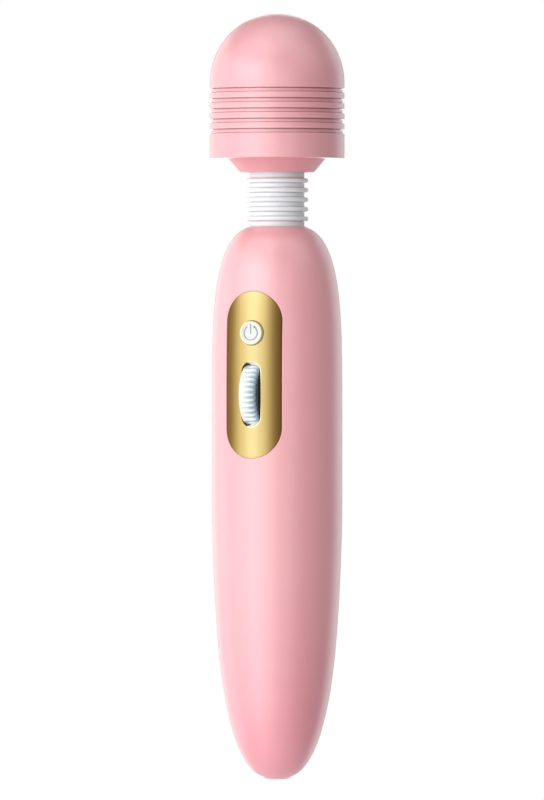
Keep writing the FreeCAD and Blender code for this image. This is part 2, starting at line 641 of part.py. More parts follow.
anchor_up = lathe([(4.0, 200.2), (10.95, 200.2, 0.4), (10.95, 195.75, 0.4), (6.85, 195.75), (6.85, 198.7), (4.0, 198.7)])
save("neck_upper_anchor", anchor_up)

# cradle that holds the motor in its rubber sleeve
cradle = tube(16.6, 7.0, 200.3, 201.8)
cradle = cradle.fuse(tube(15.3, 13.75, 201.7, 219.0))
for x, y in CR_POS:
    cradle = cradle.cut(cyl(2.05, 20, V(x, y, 201.8))).cut(cyl(0.95, 4, V(x, y, 199)))
for a in (90, 210, 330):
    ca, sa = math.cos(math.radians(a)), math.sin(math.radians(a))
    slot = box(-3, 3, 11, 17, 206.0, 216.0)
    slot.rotate(V(0, 0, 0), V(0, 0, 1), a - 90)
    cradle = cradle.cut(slot)
save("motor_cradle", cradle.removeSplitter())
cs = []
for x, y in CR_POS:
    s = cyl(1.7, 1.2, V(x, y, 201.8)).fuse(cyl(0.73, 4.6, V(x, y, 197.3)))
    s = s.cut(cyl(0.6, 1.0, V(x, y, 202.3)))
    cs.append(s.removeSplitter())
save("cradle_screws", cs)
save("motor_pad", tube(11.6, 7.2, 201.82, 203.55))
save("motor_sleeve", tube(13.7, 12.15, 205.0, 218.8))

# motor: can, end cap, magnets, bushings, brushes
can = cyl(MOTOR_R, MOTOR_Z1 - 205.6, V(0, 0, 205.6)).cut(cyl(MOTOR_R - 1.0, MOTOR_Z1 - 205.6 - 1.0, V(0, 0, 205.6)))
can = can.fuse(tube(3.2, 2.45, MOTOR_Z1 - 1.0, MOTOR_Z1 + 1.0)).cut(cyl(2.45, 10, V(0, 0, MOTOR_Z1 - 3)))
top_edges = [e for e in can.Edges if abs(e.BoundBox.ZMin - MOTOR_Z1) < 1e-4 and abs(e.BoundBox.XMax - MOTOR_R) < 1e-4]
can = can.makeFillet(0.8, top_edges) if top_edges else can
for a in (0, 180):
    can = can.cut(cyl(1.0, 3, V(7.0 * math.cos(math.radians(a + 45)), 7.0 * math.sin(math.radians(a + 45)), MOTOR_Z1 - 2)))
save("motor_can", can.removeSplitter())
end = cyl(MOTOR_R, 2.0, V(0, 0, MOTOR_Z0)).fuse(tube(11.05, 9.3, 205.5, 206.8)).cut(cyl(2.45, 10, V(0, 0, 200)))
for sx in (-1, 1):
    end = end.fuse(box(sx * 7.2 - 2.2, sx * 7.2 + 2.2, -1.6, 1.6, 205.5, 206.55))
    end = end.fuse(box(sx * 5.6 - 0.9, sx * 5.6 + 0.9, -0.25, 0.25, 202.0, MOTOR_Z0 + 0.2))
save("motor_end_cap", end.removeSplitter())
mag = tube(11.05, 9.0, 207.6, 223.2)
mags = []
for a in (0, 180):
    w = box(0, 14, -14, 14, 200, 230)
    w.rotate(V(0, 0, 0), V(0, 0, 1), a)
    half = mag.common(w)
    for s in (-1, 1):
        k = box(-3.2, 3.2, 4, 14, 200, 230)
        k.rotate(V(0, 0, 0), V(0, 0, 1), 0 if s > 0 else 180)
        half = half.cut(k)
    mags.append(half)
save("motor_magnets", mags)
save("motor_bushings", [tube(2.42, SHAFT_R + 0.03, MOTOR_Z0 + 0.1, MOTOR_Z0 + 2.0),
                        tube(2.42, SHAFT_R + 0.03, MOTOR_Z1 - 0.9, MOTOR_Z1 + 0.9)])
brushes = []
for sx in (-1, 1):
    a, b = sorted((sx * 2.72, sx * 6.4))
    brushes.append(box(a, b, -0.9, 0.9, 206.6, 208.4))
save("motor_brushes", brushes)

# rotor: shaft, stack, windings, commutator, off-centre weight
save("motor_shaft", cyl(SHAFT_R, 28.6, V(0, 0, 204.0)))
stack = []
arm = None
for i in range(3):
    a = 120 * i + 90
    web = box(0, 6.2, -1.3, 1.3, 210.2, 221.4)
    shoe = tube(8.6, 7.0, 210.2, 221.4).common(box(0, 12, -6.4, 6.4, 200, 230))
    p = web.fuse(shoe)
    p = p.fuse(box(5.5, 7.4, -1.3, 1.3, 210.2, 221.4))
    p.rotate(V(0, 0, 0), V(0, 0, 1), a)
    arm = p if arm is None else arm.fuse(p)
arm = arm.fuse(cyl(2.6, 11.2, V(0, 0, 210.2))).removeSplitter().cut(cyl(SHAFT_R, 40, V(0, 0, 200)))
save("rotor_stack", arm)
winds = []
for i in range(3):
    a = 120 * i + 90
    outer_b = box(3.1, 6.35, -2.7, 2.7, 209.2, 222.3)
    inner_b = box(3.0, 6.8, -1.34, 1.34, 210.16, 221.44)
    w = outer_b.cut(inner_b)
    w.rotate(V(0, 0, 0), V(0, 0, 1), a)
    winds.append(w)
# neighbouring coils meet between the poles, so each is trimmed to its own third
trimmed = []
for i, w in enumerate(winds):
    a = 120 * i + 90
    wedge = Part.makePolygon([V(0.15, 0, 200), V(20, 34.2, 200), V(20, -34.2, 200), V(0.15, 0, 200)])
    wedge = Part.Face(wedge).extrude(V(0, 0, 40))
    wedge.rotate(V(0, 0, 0), V(0, 0, 1), a)
    trimmed.append(w.common(wedge))
save("rotor_windings", trimmed)
com = tube(2.65, SHAFT_R, 206.4, 208.9)
for i in range(3):
    k = box(1.6, 4, -0.12, 0.12, 206.0, 209.5)
    k.rotate(V(0, 0, 0), V(0, 0, 1), 120 * i + 30)
    com = com.cut(k)
save("commutator", com)

W_Z0, W_Z1, W_R = 227.2, 232.0, 8.8
wt = cyl(W_R, W_Z1 - W_Z0, V(0, 0, W_Z0)).common(box(-0.6, 20, -20, 20, 200, 240))
wt = wt.fuse(cyl(3.2, W_Z1 - W_Z0, V(0, 0, W_Z0))).cut(cyl(SHAFT_R, 40, V(0, 0, 200)))
wt = wt.cut(xcyl(0.8, -6.0, -0.5, 0, (W_Z0 + W_Z1) / 2))
save("eccentric_weight", wt.removeSplitter())
save("weight_set_screw", xcyl(0.78, -3.1, -1.02, 0, (W_Z0 + W_Z1) / 2).cut(
    xcyl(0.35, -3.2, -2.2, 0, (W_Z0 + W_Z1) / 2)))

# motor leads: from the board's top edge up the middle of the neck to the motor's terminals
leads = [lead([(sx * 2.2, yb + 0.55, 143.0), (sx * 2.0, yb + 0.55, 149.0), (sx * 1.0, 0.8, 156.0), (sx * 0.9, 0.0, 163.0),
               (sx * 0.9, 0.0, 180.0), (sx * 0.9, 0.0, 193.5), (sx * 1.6, 0.0, 198.0),
               (sx * 3.4, 0.0, 200.4), (sx * 4.9, 0.0, 201.2)], 0.5) for sx in (-1, 1)]
save("motor_leads", leads)
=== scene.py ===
import json
import math

import bpy
import numpy as np
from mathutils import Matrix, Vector


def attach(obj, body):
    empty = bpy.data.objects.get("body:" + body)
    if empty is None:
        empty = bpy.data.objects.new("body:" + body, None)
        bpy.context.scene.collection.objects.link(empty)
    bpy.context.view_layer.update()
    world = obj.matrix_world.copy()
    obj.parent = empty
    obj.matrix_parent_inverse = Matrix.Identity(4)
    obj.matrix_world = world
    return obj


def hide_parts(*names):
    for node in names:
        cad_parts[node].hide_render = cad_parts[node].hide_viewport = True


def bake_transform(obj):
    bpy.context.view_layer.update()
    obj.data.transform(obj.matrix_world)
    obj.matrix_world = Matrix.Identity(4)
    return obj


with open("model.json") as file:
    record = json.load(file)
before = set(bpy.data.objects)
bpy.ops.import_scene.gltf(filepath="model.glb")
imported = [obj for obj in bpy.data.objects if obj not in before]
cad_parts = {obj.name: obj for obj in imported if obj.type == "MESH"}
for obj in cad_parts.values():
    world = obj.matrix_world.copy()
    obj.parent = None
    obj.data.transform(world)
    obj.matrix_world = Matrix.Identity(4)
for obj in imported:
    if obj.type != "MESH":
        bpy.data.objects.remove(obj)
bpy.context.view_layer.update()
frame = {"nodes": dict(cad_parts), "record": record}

MM = 0.001

# ------------------------------------------------------------------ the handle's outline
HANDLE_R, LENGTH = 20.46, 240.0
GRIP_Z0, GRIP_Z1 = 84.0, 108.0
LOW_L, LOW_A, LOW_B = 149.976, 4.50894, 2.53351
TOP_Z0, TOP_L, TOP_A, TOP_B = 108.1, 66.042, 4.26553, 3.37243


def low_r(z):
    t = 1 - z / LOW_L
    r = HANDLE_R * (1 - t ** LOW_A) ** (1 / LOW_B)
    u = np.clip((z - 48.0) / (GRIP_Z0 - 48.0), 0, 1)
    end = HANDLE_R * (1 - (1 - GRIP_Z0 / LOW_L) ** LOW_A) ** (1 / LOW_B)
    return r + (HANDLE_R - end) * u * u * (3 - 2 * u)


def top_r(z):
    t = np.clip((z - TOP_Z0) / TOP_L, 0, 0.99999)
    return HANDLE_R * (1 - t ** TOP_A) ** (1 / TOP_B)


def bezier(p0, p1, p2, p3, n):
    t = np.linspace(0, 1, n + 1)[:, None]
    p0, p1, p2, p3 = map(np.array, (p0, p1, p2, p3))
    return (1 - t) ** 3 * p0 + 3 * (1 - t) ** 2 * t * p1 + 3 * (1 - t) * t * t * p2 + t ** 3 * p3


def arc(c, r, a0, a1, n):
    a = np.radians(np.linspace(a0, a1, n + 1))
    return np.stack([c[0] + r * np.cos(a), c[1] + r * np.sin(a)], 1)


def resample(points, step):
    points = np.array(points, float)
    d = np.hypot(*np.diff(points, axis=0).T)
    keep = np.r_[True, d > 1e-9]
    points = points[keep]
    s = np.r_[0, np.cumsum(np.hypot(*np.diff(points, axis=0).T))]
    n = max(2, int(round(s[-1] / step)))
    q = np.linspace(0, s[-1], n + 1)
    return np.stack([np.interp(q, s, points[:, 0]), np.interp(q, s, points[:, 1])], 1)


def handle_outline():
    """Outside of the handle from the base ring to the neck's lip, (r, z) in mm."""
    z1 = 0.9
    e = 1e-3
    sl = (low_r(z1 + e) - low_r(z1 - e)) / (2 * e)
    tan = np.array([sl, 1.0]) / math.hypot(sl, 1)
    p1 = np.array([low_r(z1), z1])
    base = bezier((3.0, 0.0), (3.7, 0.06), p1 - tan * 0.6, p1, 10)
    z = np.r_[np.linspace(z1, 3, 14), np.linspace(3, 12, 30)[1:], np.linspace(12, GRIP_Z0, 90)[1:]]
    low = np.stack([low_r(z), z], 1)
    mid = np.array([[HANDLE_R, q] for q in np.linspace(GRIP_Z0, GRIP_Z1, 20)[1:]])
    z = np.r_[np.linspace(GRIP_Z1, 150, 60)[1:], np.linspace(150, 168, 50)[1:], np.linspace(168, 172.9, 30)[1:]]
    top = np.stack([top_r(z), z], 1)
    return np.concatenate([base, low[1:], mid, top])


OUTLINE = handle_outline()


def normals2(p):
    t = np.gradient(p, axis=0)
    t /= np.linalg.norm(t, axis=1)[:, None]
    return np.stack([t[:, 1], -t[:, 0]], 1)


def offset_outline(p, d):
    return p - normals2(p) * d


def radius_at(d):
    """Radius against height of the outline moved inwards by d, for the parts well away from its ends."""
    q = offset_outline(OUTLINE, d)
    o = np.argsort(q[:, 1])
    zs, rs = q[o, 1], q[o, 0]
    return lambda z: np.interp(z, zs, rs)


# ------------------------------------------------------------------ mesh helpers
class Build:
    def __init__(self):
        self.v, self.f = [], []

    def add(self, points):
        i = len(self.v)
        self.v.extend([tuple(float(c) for c in p) for p in points])
        return list(range(i, i + len(points)))

    def strip(self, a, b, closed=True):
        n = len(a)
        for i in range(n if closed else n - 1):
            j = (i + 1) % n
            self.f.append((a[i], a[j], b[j], b[i]))

    def cap(self, ring, flip=False):
        self.f.append(tuple(reversed(ring)) if flip else tuple(ring))


def make(name, verts, faces, body, mats, stands_for=(), sharp=35.0, merge=True, rides=True, mat_index=None):
    import bmesh
    me = bpy.data.meshes.new(name)
    me.from_pydata([(x * MM, y * MM, z * MM) for x, y, z in verts], [], faces)
    if mat_index is not None:
        me.polygons.foreach_set("material_index", mat_index)
    bm = bmesh.new()
    bm.from_mesh(me)
    if merge:
        bmesh.ops.remove_doubles(bm, verts=bm.verts, dist=2e-7)
    bmesh.ops.dissolve_degenerate(bm, dist=1e-8, edges=bm.edges)
    bmesh.ops.recalc_face_normals(bm, faces=bm.faces)
    lim = math.radians(sharp)
    for fc in bm.faces:
        fc.smooth = True
    for e in bm.edges:
        if len(e.link_faces) == 2:
            e.smooth = e.calc_face_angle(0.0) < lim
        else:
            e.smooth = False
    bm.to_mesh(me)
    open_edges = sum(1 for e in bm.edges if len(e.link_faces) != 2)
    vol = bm.calc_volume(signed=True)
    bm.free()
    if vol < 0:
        me.flip_normals()
    me.update()
    print(name, len(me.polygons), "faces, open or branching edges", open_edges, "volume mm3", round(abs(vol) * 1e9, 1))
    ob = bpy.data.objects.new(name, me)
    bpy.context.scene.collection.objects.link(ob)
    for m in (mats if isinstance(mats, (list, tuple)) else [mats]):
        me.materials.append(m)
    if rides:
        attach(ob, body)
    if stands_for:
        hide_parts(*([stands_for] if isinstance(stands_for, str) else stands_for))
    return ob


def lathe(points, n=192):
    """Verts and faces of a closed outline (r, z) turned about Z. Points with r=0 become poles."""
    b = Build()
    rings = []
    a = np.linspace(0, 2 * np.pi, n, endpoint=False)
    for r, z in points:
        if r < 1e-6:
            rings.append(b.add([(0, 0, z)]))
        else:
            rings.append(b.add(np.stack([r * np.cos(a), r * np.sin(a), np.full(n, z)], 1)))
    m = len(rings)
    for i in range(m):
        p, q = rings[i], rings[(i + 1) % m]
        if len(p) == 1 and len(q) == 1:
            continue
        if len(p) == 1:
            for k in range(n):
                b.f.append((p[0], q[(k + 1) % n], q[k]))
        elif len(q) == 1:
            for k in range(n):
                b.f.append((p[k], p[(k + 1) % n], q[0]))
        else:
            b.strip(p, q)
    return b.v, b.f


def corner(pts, seg=5, support=0.0):
    """Closed outline of (r, z[, fillet]) with its filleted corners turned into arcs."""
    out = []
    n = len(pts)
    for i in range(n):
        p = np.array(pts[i][:2], float)
        f = pts[i][2] if len(pts[i]) > 2 else 0.0
        if f <= 0:
            out.append(p)
            continue
        a = np.array(pts[i - 1][:2], float) - p
        c = np.array(pts[(i + 1) % n][:2], float) - p
        la, lc = np.linalg.norm(a), np.linalg.norm(c)
        a, c = a / la, c / lc
        half = math.acos(max(-1, min(1, float(a @ c)))) / 2
        d = f / math.tan(half)
        cen = p + (a + c) / np.linalg.norm(a + c) * (f / math.sin(half))
        q0, q1 = p + a * d, p + c * d
        u, w = (q0 - cen) / f, (q1 - cen) / f
        ang = math.acos(max(-1, min(1, float(u @ w))))
        if support and d + support < la * 0.5:
            out.append(q0 + a * support)
        for k in range(seg + 1):
            t = k / seg
            out.append(cen + f * (math.sin((1 - t) * ang) * u + math.sin(t * ang) * w) / math.sin(ang))
        if support and d + support < lc * 0.5:
            out.append(q1 + c * support)
    return [tuple(p) for p in out]


# ------------------------------------------------------------------ materials
def new_mat(name):
    m = bpy.data.materials.new(name)
    m.use_nodes = True
    nt = m.node_tree
    bsdf = nt.nodes["Principled BSDF"]
    return m, nt, bsdf


def tex(nt, kind, scale=None, detail=None, rough=None, vec=None, **kw):
    t = nt.nodes.new(kind)
    if scale is not None and "Scale" in t.inputs:
        t.inputs["Scale"].default_value = scale
    if detail is not None and "Detail" in t.inputs:
        t.inputs["Detail"].default_value = detail
    if rough is not None and "Roughness" in t.inputs:
        t.inputs["Roughness"].default_value = rough
    if vec is not None:
        nt.links.new(vec, t.inputs["Vector"])
    return t


def coords(nt, scale=(1, 1, 1)):
    c = nt.nodes.new("ShaderNodeTexCoord")
    mp = nt.nodes.new("ShaderNodeMapping")
    mp.inputs["Scale"].default_value = scale
    nt.links.new(c.outputs["Object"], mp.inputs["Vector"])
    return mp.outputs["Vector"]


def ramp(nt, fac, stops):
    r = nt.nodes.new("ShaderNodeValToRGB")
    r.color_ramp.elements[0].position, r.color_ramp.elements[0].color = stops[0][0], (*stops[0][1], 1)
    r.color_ramp.elements[1].position, r.color_ramp.elements[1].color = stops[-1][0], (*stops[-1][1], 1)
    for p, c in stops[1:-1]:
        e = r.color_ramp.elements.new(p)
        e.color = (*c, 1)
    nt.links.new(fac, r.inputs["Fac"])
    return r


def grey_range(nt, fac, lo, hi):
    m = nt.nodes.new("ShaderNodeMapRange")
    m.inputs["To Min"].default_value, m.inputs["To Max"].default_value = lo, hi
    nt.links.new(fac, m.inputs["Value"])
    return m.outputs["Result"]


def bump(nt, heights, bsdf):
    """Chain of (socket, strength, distance in metres)."""
    last = None
    for h, s, d in heights:
        b = nt.nodes.new("ShaderNodeBump")
        b.inputs["Strength"].default_value = s
        b.inputs["Distance"].default_value = d
        nt.links.new(h, b.inputs["Height"])
        if last is not None:
            nt.links.new(last, b.inputs["Normal"])
        last = b.outputs["Normal"]
    nt.links.new(last, bsdf.inputs["Normal"])


def silicone(name, base, var, rough=(0.42, 0.5), sss=0.0, coat=0.3, coat_rough=0.35, sheen=0.0, ior=1.45, grain=0.35, tint=None,
             coat_ior=1.5):
    m, nt, b = new_mat(name)
    v = coords(nt)
    n1 = tex(nt, "ShaderNodeTexNoise", 26.0, 3.0, 0.5, v)
    c = ramp(nt, n1.outputs["Fac"], [(0.35, base), (0.65, var)])
    colour = c.outputs["Color"]
    if tint:
        low, z0, z1 = tint                     # deeper, more saturated pink towards the base end
        sep = nt.nodes.new("ShaderNodeSeparateXYZ")
        nt.links.new(v, sep.inputs["Vector"])
        mr = nt.nodes.new("ShaderNodeMapRange")
        mr.interpolation_type = "SMOOTHSTEP"
        mr.inputs["From Min"].default_value, mr.inputs["From Max"].default_value = z0 * MM, z1 * MM
        mr.inputs["To Min"].default_value, mr.inputs["To Max"].default_value = 1.0, 0.0
        nt.links.new(sep.outputs["Z"], mr.inputs["Value"])
        mx = nt.nodes.new("ShaderNodeMix")
        mx.data_type = "RGBA"
        nt.links.new(mr.outputs["Result"], mx.inputs["Factor"])
        nt.links.new(colour, mx.inputs["A"])
        mx.inputs["B"].default_value = (*low, 1)
        colour = mx.outputs["Result"]
    nt.links.new(colour, b.inputs["Base Color"])
    b.inputs["Coat IOR"].default_value = coat_ior
    n2 = tex(nt, "ShaderNodeTexNoise", 900.0, 2.0, 0.6, v)
    nt.links.new(grey_range(nt, n2.outputs["Fac"], *rough), b.inputs["Roughness"])
    n3 = tex(nt, "ShaderNodeTexNoise", 3200.0, 3.0, 0.6, v)
    n4 = tex(nt, "ShaderNodeTexNoise", 60.0, 2.0, 0.5, v)
    bump(nt, [(n3.outputs["Fac"], grain, 0.00002), (n4.outputs["Fac"], 0.12, 0.0002)], b)
    b.inputs["IOR"].default_value = ior
    b.inputs["Coat Weight"].default_value = coat
    b.inputs["Coat Roughness"].default_value = coat_rough
    b.inputs["Sheen Weight"].default_value = sheen
    b.inputs["Sheen Roughness"].default_value = 0.4
    if sss > 0:
        b.inputs["Subsurface Weight"].default_value = sss
        b.inputs["Subsurface Radius"].default_value = (1.0, 0.35, 0.3)
        b.inputs["Subsurface Scale"].default_value = 0.003
    return m


def plastic(name, base, var=None, rough=(0.25, 0.32), coat=0.0, scale=40.0, fine=1500.0, dist=0.00001, strength=0.3, metallic=0.0, ior=1.5):
    m, nt, b = new_mat(name)
    v = coords(nt)
    var = var or tuple(min(1, c * 1.06) for c in base)
    n1 = tex(nt, "ShaderNodeTexNoise", scale, 3.0, 0.5, v)
    c = ramp(nt, n1.outputs["Fac"], [(0.3, base), (0.7, var)])
    nt.links.new(c.outputs["Color"], b.inputs["Base Color"])
    n2 = tex(nt, "ShaderNodeTexNoise", fine, 2.0, 0.6, v)
    nt.links.new(grey_range(nt, n2.outputs["Fac"], *rough), b.inputs["Roughness"])
    bump(nt, [(n2.outputs["Fac"], strength, dist)], b)
    b.inputs["Coat Weight"].default_value = coat
    b.inputs["Metallic"].default_value = metallic
    b.inputs["IOR"].default_value = ior
    return m


def brushed(name, base, var, rough=(0.28, 0.38), stretch=(1, 1, 60), scale=400.0, aniso=0.0, dist=0.000006):
    m, nt, b = new_mat(name)
    v = coords(nt, stretch)
    n1 = tex(nt, "ShaderNodeTexNoise", scale, 4.0, 0.6, v)
    c = ramp(nt, n1.outputs["Fac"], [(0.3, base), (0.7, var)])
    nt.links.new(c.outputs["Color"], b.inputs["Base Color"])
    nt.links.new(grey_range(nt, n1.outputs["Fac"], *rough), b.inputs["Roughness"])
    bump(nt, [(n1.outputs["Fac"], 0.2, dist)], b)
    b.inputs["Metallic"].default_value = 1.0
    b.inputs["Anisotropic"].default_value = aniso
    return m


def board(name, base):
    """Solder mask over a hint of tracks."""
    m, nt, b = new_mat(name)
    v = coords(nt)
    br = nt.nodes.new("ShaderNodeTexBrick")
    br.inputs["Scale"].default_value = 260.0
    br.inputs["Mortar Size"].default_value = 0.03
    br.inputs["Color1"].default_value = (*base, 1)
    br.inputs["Color2"].default_value = (*[c * 0.85 for c in base], 1)
    br.inputs["Mortar"].default_value = (*[min(1, c * 1.8 + 0.02) for c in base], 1)
    nt.links.new(v, br.inputs["Vector"])
    nt.links.new(br.outputs["Color"], b.inputs["Base Color"])
    n = tex(nt, "ShaderNodeTexNoise", 700.0, 2.0, 0.5, v)
    nt.links.new(grey_range(nt, n.outputs["Fac"], 0.25, 0.4), b.inputs["Roughness"])
    bump(nt, [(br.outputs["Fac"], 0.3, 0.00003)], b)
    return m


PINK = (0.765, 0.336, 0.366)
PINK_HEAD = (0.715, 0.314, 0.345)
M_SKIN = silicone("pink_silicone_skin", PINK, tuple(c * 1.03 for c in PINK), rough=(0.38, 0.46), sss=0.06, coat=1.0, coat_rough=0.3, coat_ior=1.7, ior=1.75,
                  tint=((0.78, 0.262, 0.318), 0.0, 70.0))
M_HEAD = silicone("pink_silicone_head", PINK_HEAD, tuple(c * 1.03 for c in PINK_HEAD), rough=(0.42, 0.5), sss=0.06, coat=1.0, coat_rough=0.3, coat_ior=1.7, ior=1.7)
M_BASE = silicone("pink_head_base", (0.745, 0.29, 0.325), (0.76, 0.30, 0.335), rough=(0.42, 0.5), sss=0.05, coat=0.3, coat_rough=0.35, ior=1.6)
M_NECK = silicone("white_neck_silicone", (0.745, 0.757, 0.78), (0.775, 0.785, 0.805), rough=(0.45, 0.52), sss=0.0, coat=0.0)


def satin_gold_painted_shading(name, painted_light_tones, rough):
    """Satin gold with painted light: a painted highlight down the plate's middle and painted shade deepening towards
    its long edges; the stops are (x in mm, colour) across it.
    """
    m, nt, b = new_mat(name)
    sep = nt.nodes.new("ShaderNodeSeparateXYZ")
    nt.links.new(coords(nt), sep.inputs["Vector"])
    mr = nt.nodes.new("ShaderNodeMapRange")
    lo, hi = painted_light_tones[0][0], painted_light_tones[-1][0]
    mr.inputs["From Min"].default_value, mr.inputs["From Max"].default_value = lo * MM, hi * MM
    nt.links.new(sep.outputs["X"], mr.inputs["Value"])
    # painted highlight and painted shade across the plate, by its x
    c = ramp(nt, mr.outputs["Result"], [((x - lo) / (hi - lo), col) for x, col in painted_light_tones])
    n1 = tex(nt, "ShaderNodeTexNoise", 1400.0, 4.0, 0.6, coords(nt, (1, 1, 0.02)))
    mx = nt.nodes.new("ShaderNodeMix")
    mx.data_type = "RGBA"
    mx.blend_type = "MULTIPLY"
    mx.inputs["Factor"].default_value = 1.0
    shade = ramp(nt, n1.outputs["Fac"], [(0.3, (0.975, 0.975, 0.975)), (0.7, (1.0, 1.0, 1.0))])
    nt.links.new(c.outputs["Color"], mx.inputs["A"])
    nt.links.new(shade.outputs["Color"], mx.inputs["B"])
    nt.links.new(mx.outputs["Result"], b.inputs["Base Color"])
    nt.links.new(grey_range(nt, n1.outputs["Fac"], *rough), b.inputs["Roughness"])
    bump(nt, [(n1.outputs["Fac"], 0.2, 0.000006)], b)
    b.inputs["Metallic"].default_value = 1.0
    return m


# painted light on the gold: the middle stops are pale as a painted highlight, the outer stops dark brown as painted
# shade
GOLD_PAINTED_LIGHT_TONES = [(-9.4, (0.15, 0.07, 0.022)), (-7.1, (0.25, 0.15, 0.04)), (-4.0, (0.505, 0.37, 0.132)), (-1.0, (0.50, 0.40, 0.18)),
              (1.5, (0.46, 0.37, 0.172)), (4.2, (0.40, 0.30, 0.115)), (7.0, (0.22, 0.135, 0.038)), (9.4, (0.13, 0.06, 0.018))]
M_GOLD_PAINTED_SHADING = satin_gold_painted_shading("satin_gold_painted_shading", GOLD_PAINTED_LIGHT_TONES, rough=(0.31, 0.36))
M_WHITE = plastic("white_gloss_plastic", (0.60, 0.61, 0.617), (0.62, 0.63, 0.637), rough=(0.18, 0.26), coat=0.3)


def wheel_plastic_painted_shade(name, axle_y, axle_z, painted_light_tones, valley, r0, r1, rough):
    """White plastic with painted shade: darker and cooler towards the wheel's right side, and darker down in its
    valleys.
    """
    m, nt, b = new_mat(name)
    v = coords(nt)
    sep = nt.nodes.new("ShaderNodeSeparateXYZ")
    nt.links.new(v, sep.inputs["Vector"])
    # painted shade towards the wheel's right side, by its x
    mr = nt.nodes.new("ShaderNodeMapRange")
    lo, hi = painted_light_tones[0][0], painted_light_tones[-1][0]
    mr.inputs["From Min"].default_value, mr.inputs["From Max"].default_value = lo * MM, hi * MM
    nt.links.new(sep.outputs["X"], mr.inputs["Value"])
    across = ramp(nt, mr.outputs["Result"], [((x - lo) / (hi - lo), c) for x, c in painted_light_tones])

    def calc(op, a, c=None):
        n = nt.nodes.new("ShaderNodeMath")
        n.operation = op
        for i, q in enumerate((a, c)):
            if q is None:
                continue
            if isinstance(q, float):
                n.inputs[i].default_value = q
            else:
                nt.links.new(q, n.inputs[i])
        return n.outputs[0]

    dy = calc("SUBTRACT", sep.outputs["Y"], axle_y * MM)
    dz = calc("SUBTRACT", sep.outputs["Z"], axle_z * MM)
    r = calc("SQRT", calc("ADD", calc("MULTIPLY", dy, dy), calc("MULTIPLY", dz, dz)))
    # painted shade down in the valleys, by distance from the axle
    deep = nt.nodes.new("ShaderNodeMapRange")
    deep.inputs["From Min"].default_value, deep.inputs["From Max"].default_value = r0 * MM, r1 * MM
    nt.links.new(r, deep.inputs["Value"])
    down = ramp(nt, deep.outputs["Result"], [(0.0, valley), (1.0, (1.0, 1.0, 1.0))])
    mx = nt.nodes.new("ShaderNodeMix")
    mx.data_type = "RGBA"
    mx.blend_type = "MULTIPLY"
    mx.inputs["Factor"].default_value = 1.0
    nt.links.new(across.outputs["Color"], mx.inputs["A"])
    nt.links.new(down.outputs["Color"], mx.inputs["B"])
    nt.links.new(mx.outputs["Result"], b.inputs["Base Color"])
    n2 = tex(nt, "ShaderNodeTexNoise", 900.0, 2.0, 0.6, v)
    nt.links.new(grey_range(nt, n2.outputs["Fac"], *rough), b.inputs["Roughness"])
    bump(nt, [(n2.outputs["Fac"], 0.15, 0.00001)], b)
    b.inputs["Coat Weight"].default_value = 0.3
    b.inputs["Coat Roughness"].default_value = 0.2
    b.inputs["Subsurface Weight"].default_value = 0.35
    b.inputs["Subsurface Radius"].default_value = (1.0, 1.0, 1.0)
    b.inputs["Subsurface Scale"].default_value = 0.0012
    return m


# painted shade: the wheel's white darkens and cools towards its right side and down between the ridges
M_WHEEL_PAINTED_SHADE = wheel_plastic_painted_shade("white_wheel_painted_shade", -12.26, 120.34,
                        [(-2.9, (0.80, 0.78, 0.67)), (-1.9, (0.77, 0.775, 0.755)), (-0.2, (0.71, 0.765, 0.80)), (1.4, (0.60, 0.69, 0.74)),
                         (2.1, (0.32, 0.40, 0.45)), (2.4, (0.09, 0.115, 0.125))],
                        (0.70, 0.75, 0.78), 10.3, 11.15, rough=(0.22, 0.3))
# painted shade: near-black plastic for the wheel's right side, where it sits in shade in the slot
M_HUB_PAINTED_SHADE = plastic("wheel_side_painted_shade", (0.06, 0.068, 0.068), (0.07, 0.078, 0.078), rough=(0.35, 0.45))
# painted reflection: cream for the power button's rim, standing in for the gold panel reflected in it
M_CREAM_PAINTED_REFLECTION = plastic("button_rim_painted_reflection", (0.70, 0.655, 0.48), (0.72, 0.675, 0.50), rough=(0.2, 0.28), coat=0.3)
# painted shade: near-black for the slot's left edge and wall
M_WELL_PAINTED_SHADE = plastic("slot_well_painted_shade", (0.012, 0.010, 0.008), rough=(0.5, 0.6))
# painted light: pale cream for the slot's right and end walls, where the light falls
M_SLOT_PAINTED_LIGHT = plastic("slot_wall_painted_light", (0.78, 0.74, 0.68), rough=(0.3, 0.4))
# painted highlight: pale gold for the slot's rolled edge on the right and round the ends
M_LIP_PAINTED_HIGHLIGHT = brushed("gold_lip_painted_highlight", (0.85, 0.74, 0.50), (0.9, 0.79, 0.56), rough=(0.2, 0.26), scale=900.0)
M_MARK = plastic("grey_mark", (0.23, 0.24, 0.26), rough=(0.35, 0.5))
M_CASE = plastic("casing_plastic", (0.72, 0.72, 0.71), rough=(0.4, 0.5))
M_BLACK = plastic("black_plastic", (0.018, 0.018, 0.02), rough=(0.35, 0.5), fine=900.0, dist=0.00003)
M_RUBBER = plastic("black_rubber", (0.015, 0.015, 0.015), rough=(0.6, 0.75), fine=700.0, dist=0.00004)
M_BOARD = board("circuit_board", (0.012, 0.10, 0.035))
M_ALU = brushed("aluminium_can", (0.72, 0.73, 0.75), (0.8, 0.81, 0.82))
M_STEEL = brushed("plain_steel", (0.55, 0.55, 0.56), (0.63, 0.63, 0.64))
M_WRAP = plastic("battery_sleeve", (0.02, 0.09, 0.32), rough=(0.2, 0.32), coat=0.4)
M_FOAM = plastic("foam_pad", (0.03, 0.03, 0.03), (0.07, 0.07, 0.07), rough=(0.85, 0.95), fine=1200.0, dist=0.00025, strength=0.8)
M_WIRE = plastic("lead_insulation", (0.5, 0.02, 0.015), (0.58, 0.03, 0.02), rough=(0.35, 0.5))
